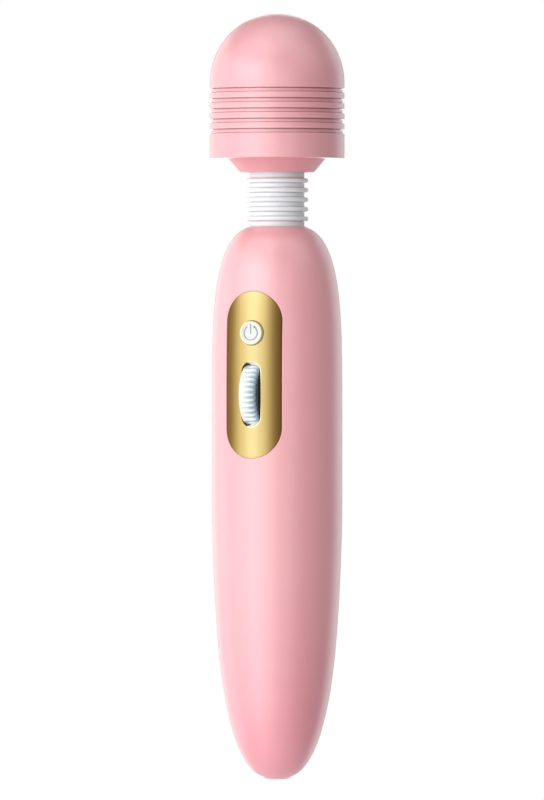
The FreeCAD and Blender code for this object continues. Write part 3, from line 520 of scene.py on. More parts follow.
M_MAGNET = plastic("magnet", (0.06, 0.06, 0.065), rough=(0.45, 0.6), metallic=0.6, fine=2200.0, dist=0.00003)
M_BRONZE = brushed("bronze", (0.50, 0.30, 0.11), (0.6, 0.38, 0.15))
M_CARBON = plastic("carbon", (0.012, 0.012, 0.012), rough=(0.5, 0.7), fine=3000.0, dist=0.00002)
M_COPPER = brushed("copper", (0.70, 0.27, 0.14), (0.8, 0.35, 0.2), stretch=(1, 1, 30), scale=900.0)

BY_SLOT = {
    "pink_silicone": M_SKIN, "pink_plastic": M_BASE, "gold_trim": M_GOLD_PAINTED_SHADING, "white_gloss": M_WHITE,
    "white_silicone": M_NECK, "casing_plastic": M_CASE, "black_plastic": M_BLACK, "black_rubber": M_RUBBER,
    "circuit_board": M_BOARD, "aluminium_can": M_ALU, "steel": M_STEEL, "battery_wrap": M_WRAP, "foam": M_FOAM,
    "lead_insulation": M_WIRE, "magnet": M_MAGNET, "bronze": M_BRONZE, "carbon": M_CARBON, "copper": M_COPPER,
}
SLOT_OF = {s["node"]: s["material_slot"] for s in frame["record"]["subparts"]}
for node, ob in frame["nodes"].items():
    ob.data.materials.clear()
    ob.data.materials.append(BY_SLOT[SLOT_OF[node]])

# ------------------------------------------------------------------ handle skin
SKIN_T = 2.0
WIN_W, WIN_A, WIN_B = 9.38, 109.92, 143.32        # window: half width and the ends of its spine
N_AZ = 240
DAZ = 2 * math.pi / N_AZ


def on_surface(rad, x, z):
    """Points over the panel side (-Y) at flat position x and height z, on the surface of radius rad(z)."""
    x, z = np.asarray(x, float), np.asarray(z, float)
    r = rad(z)
    return np.stack([x, -np.sqrt(np.maximum(r * r - x * x, 0)), z], -1)


def spine_dir(x, z, a, b):
    s = np.clip(z, a, b)
    d = np.stack([x, z - s], -1)
    d /= np.linalg.norm(d, axis=-1)[..., None]
    return s, d


def handle_skin():
    b = Build()
    out = resample(OUTLINE, 1.25)
    # finer rows round the base and the shoulder
    fine = OUTLINE
    s = np.r_[0, np.cumsum(np.hypot(*np.diff(fine, axis=0).T))]
    L = s[-1]
    q = [0.0]
    while q[-1] < L:
        p = q[-1]
        z = np.interp(p, s, fine[:, 1])
        q.append(p + (0.45 if z < 3 else 0.8 if z < 14 or z > 158 else 1.4))
    q = np.array(q[:-1])
    q = q / q[-1] * L
    out = np.stack([np.interp(q, s, fine[:, 0]), np.interp(q, s, fine[:, 1])], 1)
    inn = offset_outline(out, SKIN_T)
    k0 = int(np.argmax(inn[:, 0] > 3.0))
    k1 = len(inn) - int(np.argmax(inn[::-1, 0] > 9.7))
    inn_rows = list(range(k0, k1))
    # azimuth 0 is -Y; positive towards +X
    cols = np.arange(N_AZ) * DAZ

    def ring(r, z):
        return np.stack([r * np.sin(cols), -r * np.cos(cols), np.full(N_AZ, z)], 1)

    half = 24                                      # columns each side of -Y that the window patch takes
    j0 = int(np.argmin(abs(out[:, 1] - 92.0)))
    j1 = int(np.argmin(abs(out[:, 1] - 160.5)))
    grid_o = [b.add(ring(*p)) for p in out]
    grid_i = {j: b.add(ring(*inn[j])) for j in inn_rows}

    def in_patch(i, j):
        ii = ((i + N_AZ // 2) % N_AZ) - N_AZ // 2
        return -half <= ii < half and j0 <= j < j1

    for j in range(len(out) - 1):
        for i in range(N_AZ):
            if not in_patch(i, j):
                n = (i + 1) % N_AZ
                b.f.append((grid_o[j][i], grid_o[j][n], grid_o[j + 1][n], grid_o[j + 1][i]))
    for j in inn_rows[:-1]:
        for i in range(N_AZ):
            if not in_patch(i, j):
                n = (i + 1) % N_AZ
                b.f.append((grid_i[j][i], grid_i[j][n], grid_i[j + 1][n], grid_i[j + 1][i]))
    # patch boundary, anticlockwise from the lower left: list of (column, row)
    loop = [(i, j0) for i in range(-half, half)] + [(half, j) for j in range(j0, j1)] + \
           [(i, j1) for i in range(half, -half, -1)] + [(-half, j) for j in range(j1, j0, -1)]
    rad_o, rad_i = radius_at(0.0), radius_at(SKIN_T)

    def patch(rows, grid, rad, first, rings):
        """Rings from the window's edge (x, z, list) out to the loop of grid vertices."""
        az = np.array([i * DAZ for i, j in loop])
        zz = np.array([rows[j][1] for i, j in loop])
        x0, z0 = first
        a0 = np.arcsin(np.clip(x0 / rad(z0), -1, 1))
        prev = None
        ids = []
        for t in rings:
            a = a0 * (1 - t) + az * t
            z = z0 * (1 - t) + zz * t
            r = rad(z)
            ids.append(b.add(np.stack([r * np.sin(a), -r * np.cos(a), z], 1)))
        ids.append([grid[j][i % N_AZ] for i, j in loop])
        for p, q_ in zip(ids, ids[1:]):
            b.strip(p, q_)
        return ids[0]

    xb = np.array([out[j][0] * math.sin(i * DAZ) for i, j in loop])
    zb = np.array([out[j][1] for i, j in loop])
    sp, dr = spine_dir(xb, zb, WIN_A, WIN_B)

    def win(off):
        return (WIN_W + off) * dr[:, 0], sp + (WIN_W + off) * dr[:, 1]

    rho = 0.2
    rings = [0.0, 0.012, 0.03, 0.06, 0.11, 0.18, 0.27, 0.38, 0.5, 0.62, 0.74, 0.87]
    edge_o = patch(out, grid_o, rad_o, win(rho), rings)
    last = edge_o
    for k in range(1, 7):
        a = math.pi / 2 * k / 6
        off, depth = rho * (1 - math.sin(a)), rho * (1 - math.cos(a))
        x, z = win(off)
        cur = b.add(on_surface(lambda q_: rad_o(q_) - depth, x, z))
        b.strip(last, cur)
        last = cur
    for depth in (0.4, 1.2):
        x, z = win(0.0)
        cur = b.add(on_surface(lambda q_: rad_o(q_) - depth, x, z))
        b.strip(last, cur)
        last = cur
    edge_i = patch(inn, grid_i, rad_i, win(0.0), [0.0, 0.1, 0.25, 0.45, 0.7])
    b.strip(last, edge_i)
    # neck lip: rounds over into the hole, then down to the inner wall
    last = grid_o[-1]
    r_end, z_end = out[-1]
    hole = 8.95
    lip = [(r_end - 0.25, z_end + 0.16), (hole + 0.22, z_end + 0.2), (hole + 0.07, z_end + 0.13), (hole, z_end - 0.05),
           (hole, z_end - 0.6), (hole, inn[inn_rows[-1]][1])]
    for r, z in lip:
        cur = b.add(ring(r, z))
        b.strip(last, cur)
        last = cur
    b.strip(last, grid_i[inn_rows[-1]])
    # base: flat ring, rounded into the socket's hole
    last = grid_o[0]
    hb = 2.35
    for r, z in [(hb + 0.3, 0.0), (hb + 0.1, 0.06), (hb, 0.25), (hb, 0.8), (hb, inn[inn_rows[0]][1])]:
        cur = b.add(ring(r, z))
        b.strip(last, cur)
        last = cur
    b.strip(last, grid_i[inn_rows[0]])
    return b


bs = handle_skin()
skin = make("handle_skin_soft", bs.v, bs.f, "handle", M_SKIN, "handle_skin", sharp=50)

# ------------------------------------------------------------------ gold control panel
P_W, P_A, P_B = 9.35, 109.92, 143.32
BUTTON_Z, BUTTON_R = 139.65, 3.75
WHEEL_Z, SLOT_W, SLOT_H, SLOT_X, SLOT_Z = 120.34, 2.99, 9.99, -0.12, 120.53
SPLIT_Z = 133.2


def control_panel():
    b = Build()
    rad_f = radius_at(0.04)
    rad_b = radius_at(1.95)
    rho = 0.08
    hole_r = BUTTON_R + 0.08
    inset = P_W - rho
    # perimeter stations: half arc on top, two sides, half arc below, split at SPLIT_Z
    na = 48
    up_side = np.linspace(SPLIT_Z, P_B, 13)
    lo_side = np.linspace(SPLIT_Z, P_A, 30)
    arc_u = np.radians(np.linspace(0, 180, na + 1))
    arc_l = np.radians(np.linspace(0, -180, na + 1))

    def up_perim(w):
        pts = [(w, z) for z in up_side[:-1]]
        pts += [(w * math.cos(a), P_B + w * math.sin(a)) for a in arc_u]
        pts += [(-w, z) for z in up_side[::-1][1:]]
        return pts

    def lo_perim(w):
        pts = [(w, z) for z in lo_side[:-1]]
        pts += [(w * math.cos(a), P_A + w * math.sin(a)) for a in arc_l]
        pts += [(-w, z) for z in lo_side[::-1][1:]]
        return pts

    nb = 26
    line = [(-inset + 2 * inset * k / nb, SPLIT_Z) for k in range(1, nb)]

    def fill(rad, perim, spine, hole_w, ts, x0=0.0):
        """Rings between a hole round a spine at x0 and a closed boundary."""
        bd = np.array(perim)
        sp = np.clip(bd[:, 1], *spine)
        d = np.stack([bd[:, 0] - x0, bd[:, 1] - sp], 1)
        d /= np.linalg.norm(d, axis=1)[:, None]
        inner = np.stack([x0 + hole_w * d[:, 0], sp + hole_w * d[:, 1]], 1)
        ids = []
        for t in ts:
            p = inner * (1 - t) + bd * t
            ids.append(b.add(on_surface(rad, p[:, 0], p[:, 1])))
        for p, q in zip(ids, ids[1:]):
            b.strip(p, q)
        return sp, d

    ts = [0, 0.02, 0.06, 0.13, 0.24, 0.38, 0.53, 0.68, 0.8, 0.9, 0.96, 1.0]
    tb = [0, 0.3, 0.7, 1.0]

    def walls(sp, d, w_hole, r, x0=0.0, slot=False):
        """Rolled edge round a hole and its wall down to the back."""
        f0 = len(b.f)
        last = b.add(on_surface(rad_f, x0 + (w_hole + r) * d[:, 0], sp + (w_hole + r) * d[:, 1]))
        for k in range(1, 7):
            a = math.pi / 2 * k / 6
            w, dep = w_hole + r * (1 - math.sin(a)), r * (1 - math.cos(a))
            cur = b.add(on_surface(lambda z: rad_f(z) - dep, x0 + w * d[:, 0], sp + w * d[:, 1]))
            b.strip(last, cur)
            last = cur
        f1 = len(b.f)
        # the slot's ends slope in under the edge, towards the wheel
        x_edge = x0 + w_hole * d[:, 0]
        slope = np.clip((x_edge + 1.3) / 0.7, 0, 1) * (0.12 + 0.78 * np.abs(d[:, 1]) ** 1.5) if slot else np.zeros(len(d))
        for share, dep in ((0.12, r + 0.08), (0.45, 0.75), (1.0, 1.3)):
            w = w_hole - slope * share
            cur = b.add(on_surface(lambda z: rad_f(z) - dep, x0 + w * d[:, 0], sp + w * d[:, 1]))
            b.strip(last, cur)
            last = cur
        cur = b.add(on_surface(rad_b, x0 + w_hole * d[:, 0], sp + w_hole * d[:, 1]))
        b.strip(last, cur)
        if slot:
            b.slot_faces = (f0, f1, len(b.f))

    r_hole, r_slot = 0.18, 0.32
    up = up_perim(inset) + line
    lo = lo_perim(inset) + line
    sp_u = (BUTTON_Z, BUTTON_Z)
    sp_l = (SLOT_Z - SLOT_H + SLOT_W, SLOT_Z + SLOT_H - SLOT_W)
    s1, d1 = fill(rad_f, up, sp_u, hole_r + r_hole, ts)
    s2, d2 = fill(rad_f, lo, sp_l, SLOT_W + r_slot, ts, SLOT_X)
    walls(s1, d1, hole_r, r_hole)
    walls(s2, d2, SLOT_W, r_slot, SLOT_X, slot=True)
    line_b = [(-P_W + 2 * P_W * k / nb, SPLIT_Z) for k in range(1, nb)]
    # the back keeps the same stations, so that every wall meets it vertex to vertex

    def back(perim_full, s, d, w_hole, x0=0.0):
        inner = np.stack([x0 + w_hole * d[:, 0], s + w_hole * d[:, 1]], 1)
        bd = np.array(perim_full)
        ids = []
        for t in tb:
            p = inner * (1 - t) + bd * t
            ids.append(b.add(on_surface(rad_b, p[:, 0], p[:, 1])))
        for p, q in zip(ids, ids[1:]):
            b.strip(p, q)

    back(up_perim(P_W) + line_b, s1, d1, hole_r)
    back(lo_perim(P_W) + line_b, s2, d2, SLOT_W, SLOT_X)

    # rolled outer edge and wall
    def perim(w):
        u = up_perim(w)
        l = lo_perim(w)
        return np.array(u + l[::-1][1:-1])

    last = None
    for k in range(0, 7):
        a = math.pi / 2 * k / 6
        w, dep = P_W - rho * (1 - math.sin(a)), rho * (1 - math.cos(a))
        p = perim(w)
        cur = b.add(on_surface(lambda z: rad_f(z) - dep, p[:, 0], p[:, 1]))
        if last is not None:
            b.strip(last, cur)
        last = cur
    p = perim(P_W)
    cur = b.add(on_surface(lambda z: rad_f(z) - 0.6, p[:, 0], p[:, 1]))
    b.strip(last, cur)
    last = cur
    cur = b.add(on_surface(rad_b, p[:, 0], p[:, 1]))
    b.strip(last, cur)
    return b


bp = control_panel()
fa, fb, fc_ = bp.slot_faces
# material index per face: painted highlight, painted shade and painted light round the slot
slot_painted_light_index = []
for i, fc in enumerate(bp.f):
    x = float(np.mean([bp.v[k][0] for k in fc])) if fa <= i < fc_ else 0.0
    if fa <= i < fb:
        slot_painted_light_index.append(2 if x < SLOT_X - 1.2 else 1)          # rolled edge: painted highlight on the right and round the ends, painted shade on the left
    elif fb <= i < fc_:
        # walls: painted shade on the left, painted light on the right and at the ends
        slot_painted_light_index.append(2 if x < SLOT_X - 0.9 else 3)
    else:
        slot_painted_light_index.append(0)
panel = make("control_panel_gold", bp.v, bp.f, "handle", [M_GOLD_PAINTED_SHADING, M_LIP_PAINTED_HIGHLIGHT, M_WELL_PAINTED_SHADE, M_SLOT_PAINTED_LIGHT], "control_panel", sharp=50,
             mat_index=slot_painted_light_index)

# ------------------------------------------------------------------ power button
FACE_Y = -21.0


def y_lathe(points, cz, n=96):
    """Closed outline of (r, depth behind the face) turned about the button's axis (+Y inwards)."""
    v, f = lathe(points, n)
    return [(x, FACE_Y + z, cz + y) for x, y, z in v], f


R = BUTTON_R
prof = [(0.0, 0.16), (0.8, 0.16), (1.6, 0.16), (2.4, 0.16), (2.66, 0.16), (2.74, 0.155), (2.82, 0.13), (2.90, 0.07), (2.98, 0.02), (3.08, 0.0),
        (3.2, 0.0)]
prof += [tuple(p) for p in arc((R - 0.42, 0.42), 0.42, -90, 0, 8)]
prof += [(R, 0.6), (R, 3.5), (R, 3.7), (4.85, 3.7), (4.85, 4.45), (1.5, 4.45), (1.5, 5.45), (0.0, 5.45)]
v, f = y_lathe(prof, BUTTON_Z)
# faces beyond 2.85 mm from the axis take the cream material: painted reflection on the rim
rim = [1 if math.hypot(*np.mean([(v[i][0], v[i][2] - BUTTON_Z) for i in fc], axis=0)) > 2.85 else 0 for fc in f]
button = make("power_button_cap", v, f, "power_button", [M_WHITE, M_CREAM_PAINTED_REFLECTION], "power_button", sharp=50, mat_index=rim)


def ribbon(path, width, y0, y1, taper=None):
    """Closed flat ribbon along a path in the (x, z) plane, from y0 to y1."""
    path = np.array(path, float)
    t = np.gradient(path, axis=0)
    t /= np.linalg.norm(t, axis=1)[:, None]
    n = np.stack([-t[:, 1], t[:, 0]], 1)
    w = np.full(len(path), width / 2) if taper is None else np.array(taper) * width / 2
    left, right = path + n * w[:, None], path - n * w[:, None]
    # round ends
    end_a = [path[0] + w[0] * (math.cos(a) * n[0] - math.sin(a) * t[0]) for a in np.radians([30, 60, 90, 120, 150])]
    end_b = [path[-1] + w[-1] * (-math.cos(a) * n[-1] + math.sin(a) * t[-1]) for a in np.radians([30, 60, 90, 120, 150])]
    loop = list(right) + end_b + list(left[::-1]) + end_a
    b = Build()
    lo = b.add([(p[0], y0, p[1]) for p in loop])
    hi = b.add([(p[0], y1, p[1]) for p in loop])
    b.strip(lo, hi)
    # cap with quads between the two sides plus end fans
    m = len(path)
    for ids, flip in ((lo, False), (hi, True)):
        r_ids, eb, l_ids, ea = ids[:m], ids[m:m + 5], ids[m + 5:2 * m + 5], ids[2 * m + 5:]
        l_ids = l_ids[::-1]
        for k in range(m - 1):
            q = (r_ids[k], r_ids[k + 1], l_ids[k + 1], l_ids[k])
            b.f.append(q if not flip else q[::-1])
        q = tuple([r_ids[-1]] + eb + [l_ids[-1]])
        b.f.append(q if not flip else q[::-1])
        q = tuple([l_ids[0]] + ea + [r_ids[0]])
        b.f.append(q if not flip else q[::-1])
    return b


def mark():
    """Power symbol: an open ring and an upright bar, thin inlays in the button's dished face."""
    b = Build()
    y0, y1 = FACE_Y + 0.125, FACE_Y + 0.4
    rr = 2.22
    deg = np.linspace(90 - 33, 90 + 33 - 360, 91)
    ang = np.radians(deg)
    ringp = [(rr * math.cos(a), BUTTON_Z + rr * math.sin(a)) for a in ang]
    low = np.abs((deg + 90 + 180) % 360 - 180)               # degrees from the ring's lowest point
    thin = 0.65 + 0.35 * np.clip((low - 12) / 45, 0, 1)
    blob = [(0.33 * math.cos(a) + rr * math.cos(ang[0]), 0.33 * math.sin(a) + BUTTON_Z + rr * math.sin(ang[0]))
            for a in np.radians(np.linspace(0, 360, 25)[:-1])]
    dot = Build()
    lo_, hi_ = dot.add([(x, y0, z) for x, z in blob]), dot.add([(x, y1, z) for x, z in blob])
    dot.strip(lo_, hi_)
    dot.f += [tuple(lo_), tuple(reversed(hi_))]
    for piece in (ribbon(ringp[2:], 0.36, y0, y1, thin[2:]), dot,
                  ribbon([(0, BUTTON_Z - 0.15 + 2.75 * k / 10) for k in range(11)], 0.34, y0, y1)):
        o = len(b.v)
        b.v += piece.v
        b.f += [tuple(i + o for i in fc) for fc in piece.f]
    return b


bm_ = mark()
mark_ob = make("power_symbol_inlay", bm_.v, bm_.f, "power_button", M_MARK, sharp=40)

# ------------------------------------------------------------------ thumb wheel
WHEEL_R, WHEEL_Y, TEETH, HW = 11.2, -12.26, 40, 2.85


def wheel():
    """A plain rim on the left, then rounded ridges that run down a crown to sharp tips on the right."""
    b = Build()
    per = 16
    n = TEETH * per
    a = np.arange(n) * 2 * math.pi / n
    ph = (np.arange(n) % per) / per
    crest = (0.5 + 0.5 * np.cos(2 * math.pi * ph)) ** 0.8

    def ring(x, r):
        return b.add(np.stack([np.full(n, x), WHEEL_Y - r * np.cos(a), WHEEL_Z + r * np.sin(a)], 1))

    full = np.ones(n)
    rows = [(-2.9, 11.12 * full), (-2.87, 11.24 * full), (-2.8, 11.3 * full), (-2.62, 11.3 * full), (-2.5, 11.25 * full)]
    for x in (-2.42, -2.3, -2.1, -1.8, -1.4, -1.0, -0.6, -0.2, 0.2, 0.6, 0.9, 1.2, 1.5, 1.75, 1.95, 2.1, 2.2, 2.27):
        grow = min(1.0, (x + 2.5) / 3.2) ** 1.5
        fall = 0.95 * max(0.0, (x - 0.3) / 2.0) ** 2.4
        rows.append((x, 11.28 - fall - (0.18 + 0.87 * grow) * min(1.0, (x + 2.5) / 0.5) * (1 - crest)))
    rows += [(2.33, 10.15 - 0.5 * (1 - crest)), (2.38, 9.95 - 0.25 * (1 - crest)), (2.38, 9.4 * full), (2.4, 9.0 * full)]
    rings = [ring(x, r) for x, r in rows]
    for p, q in zip(rings, rings[1:]):
        b.strip(p, q)
    for sgn, edge in ((-1, rings[0]), (1, rings[-1])):
        last = edge
        face = ((2.85, 8.75), (2.8, 8.5)) if sgn < 0 else ((2.42, 8.75), (2.42, 8.5))
        for x, r in face + ((2.35, 8.2), (2.3, 8.0), (2.3, 3.8), (2.35, 3.6), (2.8, 3.4), (2.85, 3.2), (2.85, 1.12), (2.75, 1.02)):
            cur = ring(sgn * x, np.full(n, r))
            b.strip(last, cur)
            last = cur
        if sgn < 0:
            end_a = last
        else:
            b.strip(last, end_a)
    return b


bw = wheel()
# faces on the wheel's right side, inside radius 9.75, take the near-black material: painted shade
side_painted_shade_index = []
for fc in bw.f:
    q = np.mean([bw.v[i] for i in fc], axis=0)
    side_painted_shade_index.append(1 if q[0] > 2.36 and math.hypot(q[1] - WHEEL_Y, q[2] - WHEEL_Z) < 9.75 else 0)
wheel_ob = make("thumb_wheel_ribbed", bw.v, bw.f, "speed_wheel", [M_WHEEL_PAINTED_SHADE, M_HUB_PAINTED_SHADE], "speed_wheel", sharp=60, mat_index=side_painted_shade_index)

# ------------------------------------------------------------------ head cap
HEAD_R, DOME_Z, DOME_H, CAP_T = 21.15, 218.07, 21.93, 2.5
CAP_Z0, G_TOP, G_PITCH, G_W = 194.34, 216.3, 3.2, 1.4


def cap():
    pts = [(15.3, CAP_Z0, 0.25), (HEAD_R, CAP_Z0, 0.32)]
    for i in range(4, -1, -1):
        t = G_TOP - G_PITCH * i
        pts += [(HEAD_R, t - G_W, 0.06), (HEAD_R - 0.98, t - G_W), (HEAD_R - 0.98, t - G_W + 0.13), (HEAD_R - 0.62, t - G_W + 0.15, 0.05),
                (HEAD_R - 0.66, t - 0.32, 0.05), (HEAD_R - 1.45, t - 0.30), (HEAD_R - 1.45, t), (HEAD_R, t, 0.06)]
    pts += [(HEAD_R, DOME_Z)]
    body = corner(pts + [(18.65, DOME_Z), (18.65, 196.2, 0.2), (15.3, 196.2, 0.2)], 5, 0.08)
    i_out = next(k for k, p in enumerate(body) if abs(p[0] - HEAD_R) < 1e-9 and abs(p[1] - DOME_Z) < 1e-9)
    i_in = next(k for k, p in enumerate(body) if abs(p[0] - 18.65) < 1e-9 and abs(p[1] - DOME_Z) < 1e-9)
    assert i_in == i_out + 1
    th = np.radians(np.linspace(0, 90, 61))[1:]
    dome_o = [(HEAD_R * math.cos(t) if t < math.pi / 2 - 1e-9 else 0.0, DOME_Z + DOME_H * math.sin(t)) for t in th]
    dome_i = [((HEAD_R - CAP_T) * math.cos(t) if t < math.pi / 2 - 1e-9 else 0.0, DOME_Z + (DOME_H - CAP_T) * math.sin(t)) for t in th[::3]]
    if dome_i[-1][0] > 1e-6:
        dome_i.append((0.0, DOME_Z + DOME_H - CAP_T))
    pts = body[:i_out + 1] + dome_o + dome_i[::-1] + body[i_in:]
    return lathe(pts, 256)


v, f = cap()
cap_ob = make("head_cap_soft", v, f, "head", M_HEAD, "head_cap", sharp=40)

# ------------------------------------------------------------------ head base
pts = corner([(8.85, 190.07, 0.25), (11.56, 190.07, 0.3), (15.1, 194.32, 0.1), (15.1, 196.32), (18.45, 196.32, 0.2), (18.45, 198.25),
              (16.65, 198.25), (16.65, 200.25, 0.3), (11.05, 200.25), (11.05, 195.7), (10.6, 195.7), (10.6, 194.05), (8.85, 194.05)], 5, 0.1)
v, f = lathe(pts, 192)
base_ob = make("head_base_cone", v, f, "head", M_BASE, "head_base", sharp=40)

# ------------------------------------------------------------------ neck sleeve, two pieces that meet in a valley
NECK_R, RIB_R, RIB_T, NECK_IN = 8.55, 9.80, 1.46, 7.1
RIBS = sorted([187.48, 184.49, 181.50, 178.51, 175.52])
SEAM = 180.0


def sleeve_outside():
    pts = [(NECK_IN, 165.3), (10.4, 165.3), (10.4, 166.8), (NECK_R, 166.8)]
    z_list = np.linspace(167.2, 173.0, 7)
    pts += [(NECK_R, z) for z in z_list]
    for zc in RIBS:
        h = RIB_T / 2
        rise = RIB_R - NECK_R - h
        pts += [(NECK_R, zc - h - 0.25), (NECK_R, zc - h - 0.15), (NECK_R - 0.4, zc - h - 0.14), (NECK_R - 0.4, zc - h), (NECK_R + rise, zc - h)]
        pts += [tuple(p) for p in arc((RIB_R - h, zc), h, -90, 90, 12)[1:-1]]
        pts += [(NECK_R + rise, zc + h), (NECK_R - 0.3, zc + h), (NECK_R - 0.3, zc + h + 0.11), (NECK_R, zc + h + 0.12), (NECK_R, zc + h + 0.22)]
    pts += [(NECK_R, z) for z in np.linspace(188.8, 194.0, 7)]
    pts += [(NECK_R, 194.15), (10.4, 194.15), (10.4, 195.55), (NECK_IN, 195.55)]
    return pts


SO = sleeve_outside()
low = [p for p in SO if p[1] < SEAM] + [(NECK_R, SEAM), (NECK_IN, SEAM)] + [(NECK_IN, z) for z in np.arange(179, 166, -1.0)]
high = [(NECK_IN, SEAM), (NECK_R, SEAM)] + [p for p in SO if p[1] > SEAM] + [(NECK_IN, z) for z in np.arange(194.5, 180.4, -1.0)]
v, f = lathe(low, 160)
neck_lo = make("neck_sleeve_lower", v, f, "handle", M_NECK, rides=False, sharp=50)
v, f = lathe(high, 160)
neck_hi = make("neck_sleeve_upper", v, f, "head", M_NECK, rides=False, sharp=50)
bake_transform(neck_lo)
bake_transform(neck_hi)
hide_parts("neck_sleeve")
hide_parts("neck_sleeve")

# ------------------------------------------------------------------ spring and leads inside the neck
def wire_line(points, step=0.5):
    """Points along straight runs joined by tangent arcs."""
    pts = [np.array(p, float) for p in points]
    out = [pts[0]]

    def run(q):
        p = out[-1]
        n = max(1, int(math.ceil(np.linalg.norm(q - p) / step)))
        out.extend([p + (q - p) * (k / n) for k in range(1, n + 1)])

    for a, b, c in zip(pts, pts[1:], pts[2:]):
        lu, lw = np.linalg.norm(a - b), np.linalg.norm(c - b)
        u, w = (a - b) / lu, (c - b) / lw
        if np.linalg.norm(u + w) < 1e-3:
            continue
        half = math.acos(max(-1.0, min(1.0, float(u @ w)))) / 2
        t = 0.45 * min(lu, lw)
        q0, q1 = b + u * t, b + w * t
        cen = b + (u + w) / np.linalg.norm(u + w) * (t / math.cos(half))
        turn = math.pi - 2 * half
        run(q0)
        out.extend([cen + (math.sin((1 - k) * turn) * (q0 - cen) + math.sin(k * turn) * (q1 - cen)) / math.sin(turn)
                    for k in np.linspace(0, 1, 9)[1:]])
    run(pts[-1])
    return np.array(out)


def wire_rings(line, r, n=14):
    """Rings of a round wire of radius r along a line of points."""
    tan = np.gradient(line, axis=0)
    tan /= np.linalg.norm(tan, axis=1)[:, None]
    side = np.cross(tan[0], (0.0, 0.0, 1.0) if abs(tan[0][2]) < 0.9 else (1.0, 0.0, 0.0))
    a = np.linspace(0, 2 * np.pi, n, endpoint=False)[:, None]
    rings = []
    for p, t in zip(line, tan):
        side = side - t * (side @ t)
        side = side / np.linalg.norm(side)
        rings.append(p + r * (np.cos(a) * side + np.sin(a) * np.cross(t, side)))
    return rings


def wires(runs):
    """Verts and faces of several closed wires, each a list of rings."""
    v, f = [], []
    for rings in runs:
        n, k0 = len(rings[0]), len(v)
        for ring in rings:
            v += [tuple(float(c) for c in p) for p in ring]
        for i in range(len(rings) - 1):
            for k in range(n):
                p, q = k0 + i * n, k0 + (i + 1) * n
                f.append((p + k, p + (k + 1) % n, q + (k + 1) % n, q + k))
        f.append(tuple(reversed(range(k0, k0 + n))))
        f.append(tuple(range(k0 + (len(rings) - 1) * n, k0 + len(rings) * n)))
    return v, f


def across_neck(name, runs, r, mat, node):
    """Wires through the neck, cut at the seam into a lower and an upper half."""
    low, high = [], []
    for line in runs:
        i = int(np.argmin(np.abs(line[:, 2] - SEAM)))
        line[i, 2] = SEAM
        rings = wire_rings(line, r)
        low.append(rings[:i + 1])
        high.append(rings[i:])
    v, f = wires(low)
    lo = make(name + "_lower", v, f, "handle", mat, rides=False, merge=False, sharp=50)
    v, f = wires(high)
    hi = make(name + "_upper", v, f, "head", mat, rides=False, merge=False, sharp=50)
    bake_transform(lo)
    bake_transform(hi)
    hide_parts(node)
    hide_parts(node)


COIL_R, COIL_WIRE, COIL_PITCH, COIL_Z0, COIL_Z1 = 5.95, 0.75, 2.2, 162.45, 197.85
turns = np.linspace(0, (COIL_Z1 - COIL_Z0) / COIL_PITCH, 645)
coil = np.stack([COIL_R * np.cos(2 * np.pi * turns), COIL_R * np.sin(2 * np.pi * turns), COIL_Z0 + COIL_PITCH * turns], 1)
across_neck("neck_coil", [coil], COIL_WIRE, M_STEEL, "neck_spring")

BOARD_BACK = 2.25
across_neck("neck_leads", [wire_line([
    (sx * 2.2, BOARD_BACK + 0.55, 143.0), (sx * 2.0, BOARD_BACK + 0.55, 149.0), (sx * 1.0, 0.8, 156.0), (sx * 0.9, 0.0, 163.0),
    (sx * 0.9, 0.0, 180.0), (sx * 0.9, 0.0, 193.5), (sx * 1.6, 0.0, 198.0), (sx * 3.1, 0.0, 200.6), (sx * 4.9, 0.0, 201.2)])
    for sx in (-1, 1)], 0.5, M_WIRE, "motor_leads")

# ------------------------------------------------------------------ charging socket's mouth
pts = [(1.3, 9.35)] + corner([(1.3, 0.35, 0.12), (2.25, 0.35, 0.2), (2.25, 5.7), (4.0, 5.7, 0.3), (4.0, 13.0, 0.3), (0.0, 13.0)], 4)[0:]
v, f = lathe([(0.0, 9.35)] + pts, 96)
v, f = [tuple(p) for p in v], [tuple(q) for q in f]
for sx in (-1, 1):
    k0 = len(v)
    v += [(sx * 1.4 + x, y, z) for z in (12.9, 15.6) for x, y in ((-0.5, -0.2), (0.5, -0.2), (0.5, 0.2), (-0.5, 0.2))]
    f += [(k0 + 3, k0 + 2, k0 + 1, k0), (k0 + 4, k0 + 5, k0 + 6, k0 + 7)]
    f += [(k0 + i, k0 + (i + 1) % 4, k0 + 4 + (i + 1) % 4, k0 + 4 + i) for i in range(4)]
make("charge_socket_body", v, f, "handle", M_BLACK, "charge_socket", sharp=40)

# ------------------------------------------------------------------ stage, light, camera
def plane(name, z, half, mat, n=24):
    b = Build()
    g = np.linspace(-half, half, n + 1)
    idx = [b.add([(x, y, z) for x in g]) for y in g]
    for p, q in zip(idx, idx[1:]):
        b.strip(p, q, closed=False)
    me = bpy.data.meshes.new(name)
    me.from_pydata([(x * MM, y * MM, zz * MM) for x, y, zz in b.v], [], b.f)
    me.materials.append(mat)
    ob = bpy.data.objects.new(name, me)
    bpy.context.scene.collection.objects.link(ob)
    return ob


M_FLOOR = plastic("studio_floor", (0.86, 0.86, 0.86), (0.88, 0.88, 0.88), rough=(0.6, 0.7))
floor = plane("studio_floor", -560.0, 1100.0, M_FLOOR)

AZ = math.radians(23.3)
DIST = 3400.0
MM_PX = 0.31332


def cam_dir(deg, elev=0.0):
    """Unit vector from the wand towards a light, deg to the right of the camera as the camera sees it."""
    a = AZ + math.radians(deg)
    e = math.radians(elev)
    return Vector((math.sin(a) * math.cos(e), -math.cos(a) * math.cos(e), math.sin(e)))


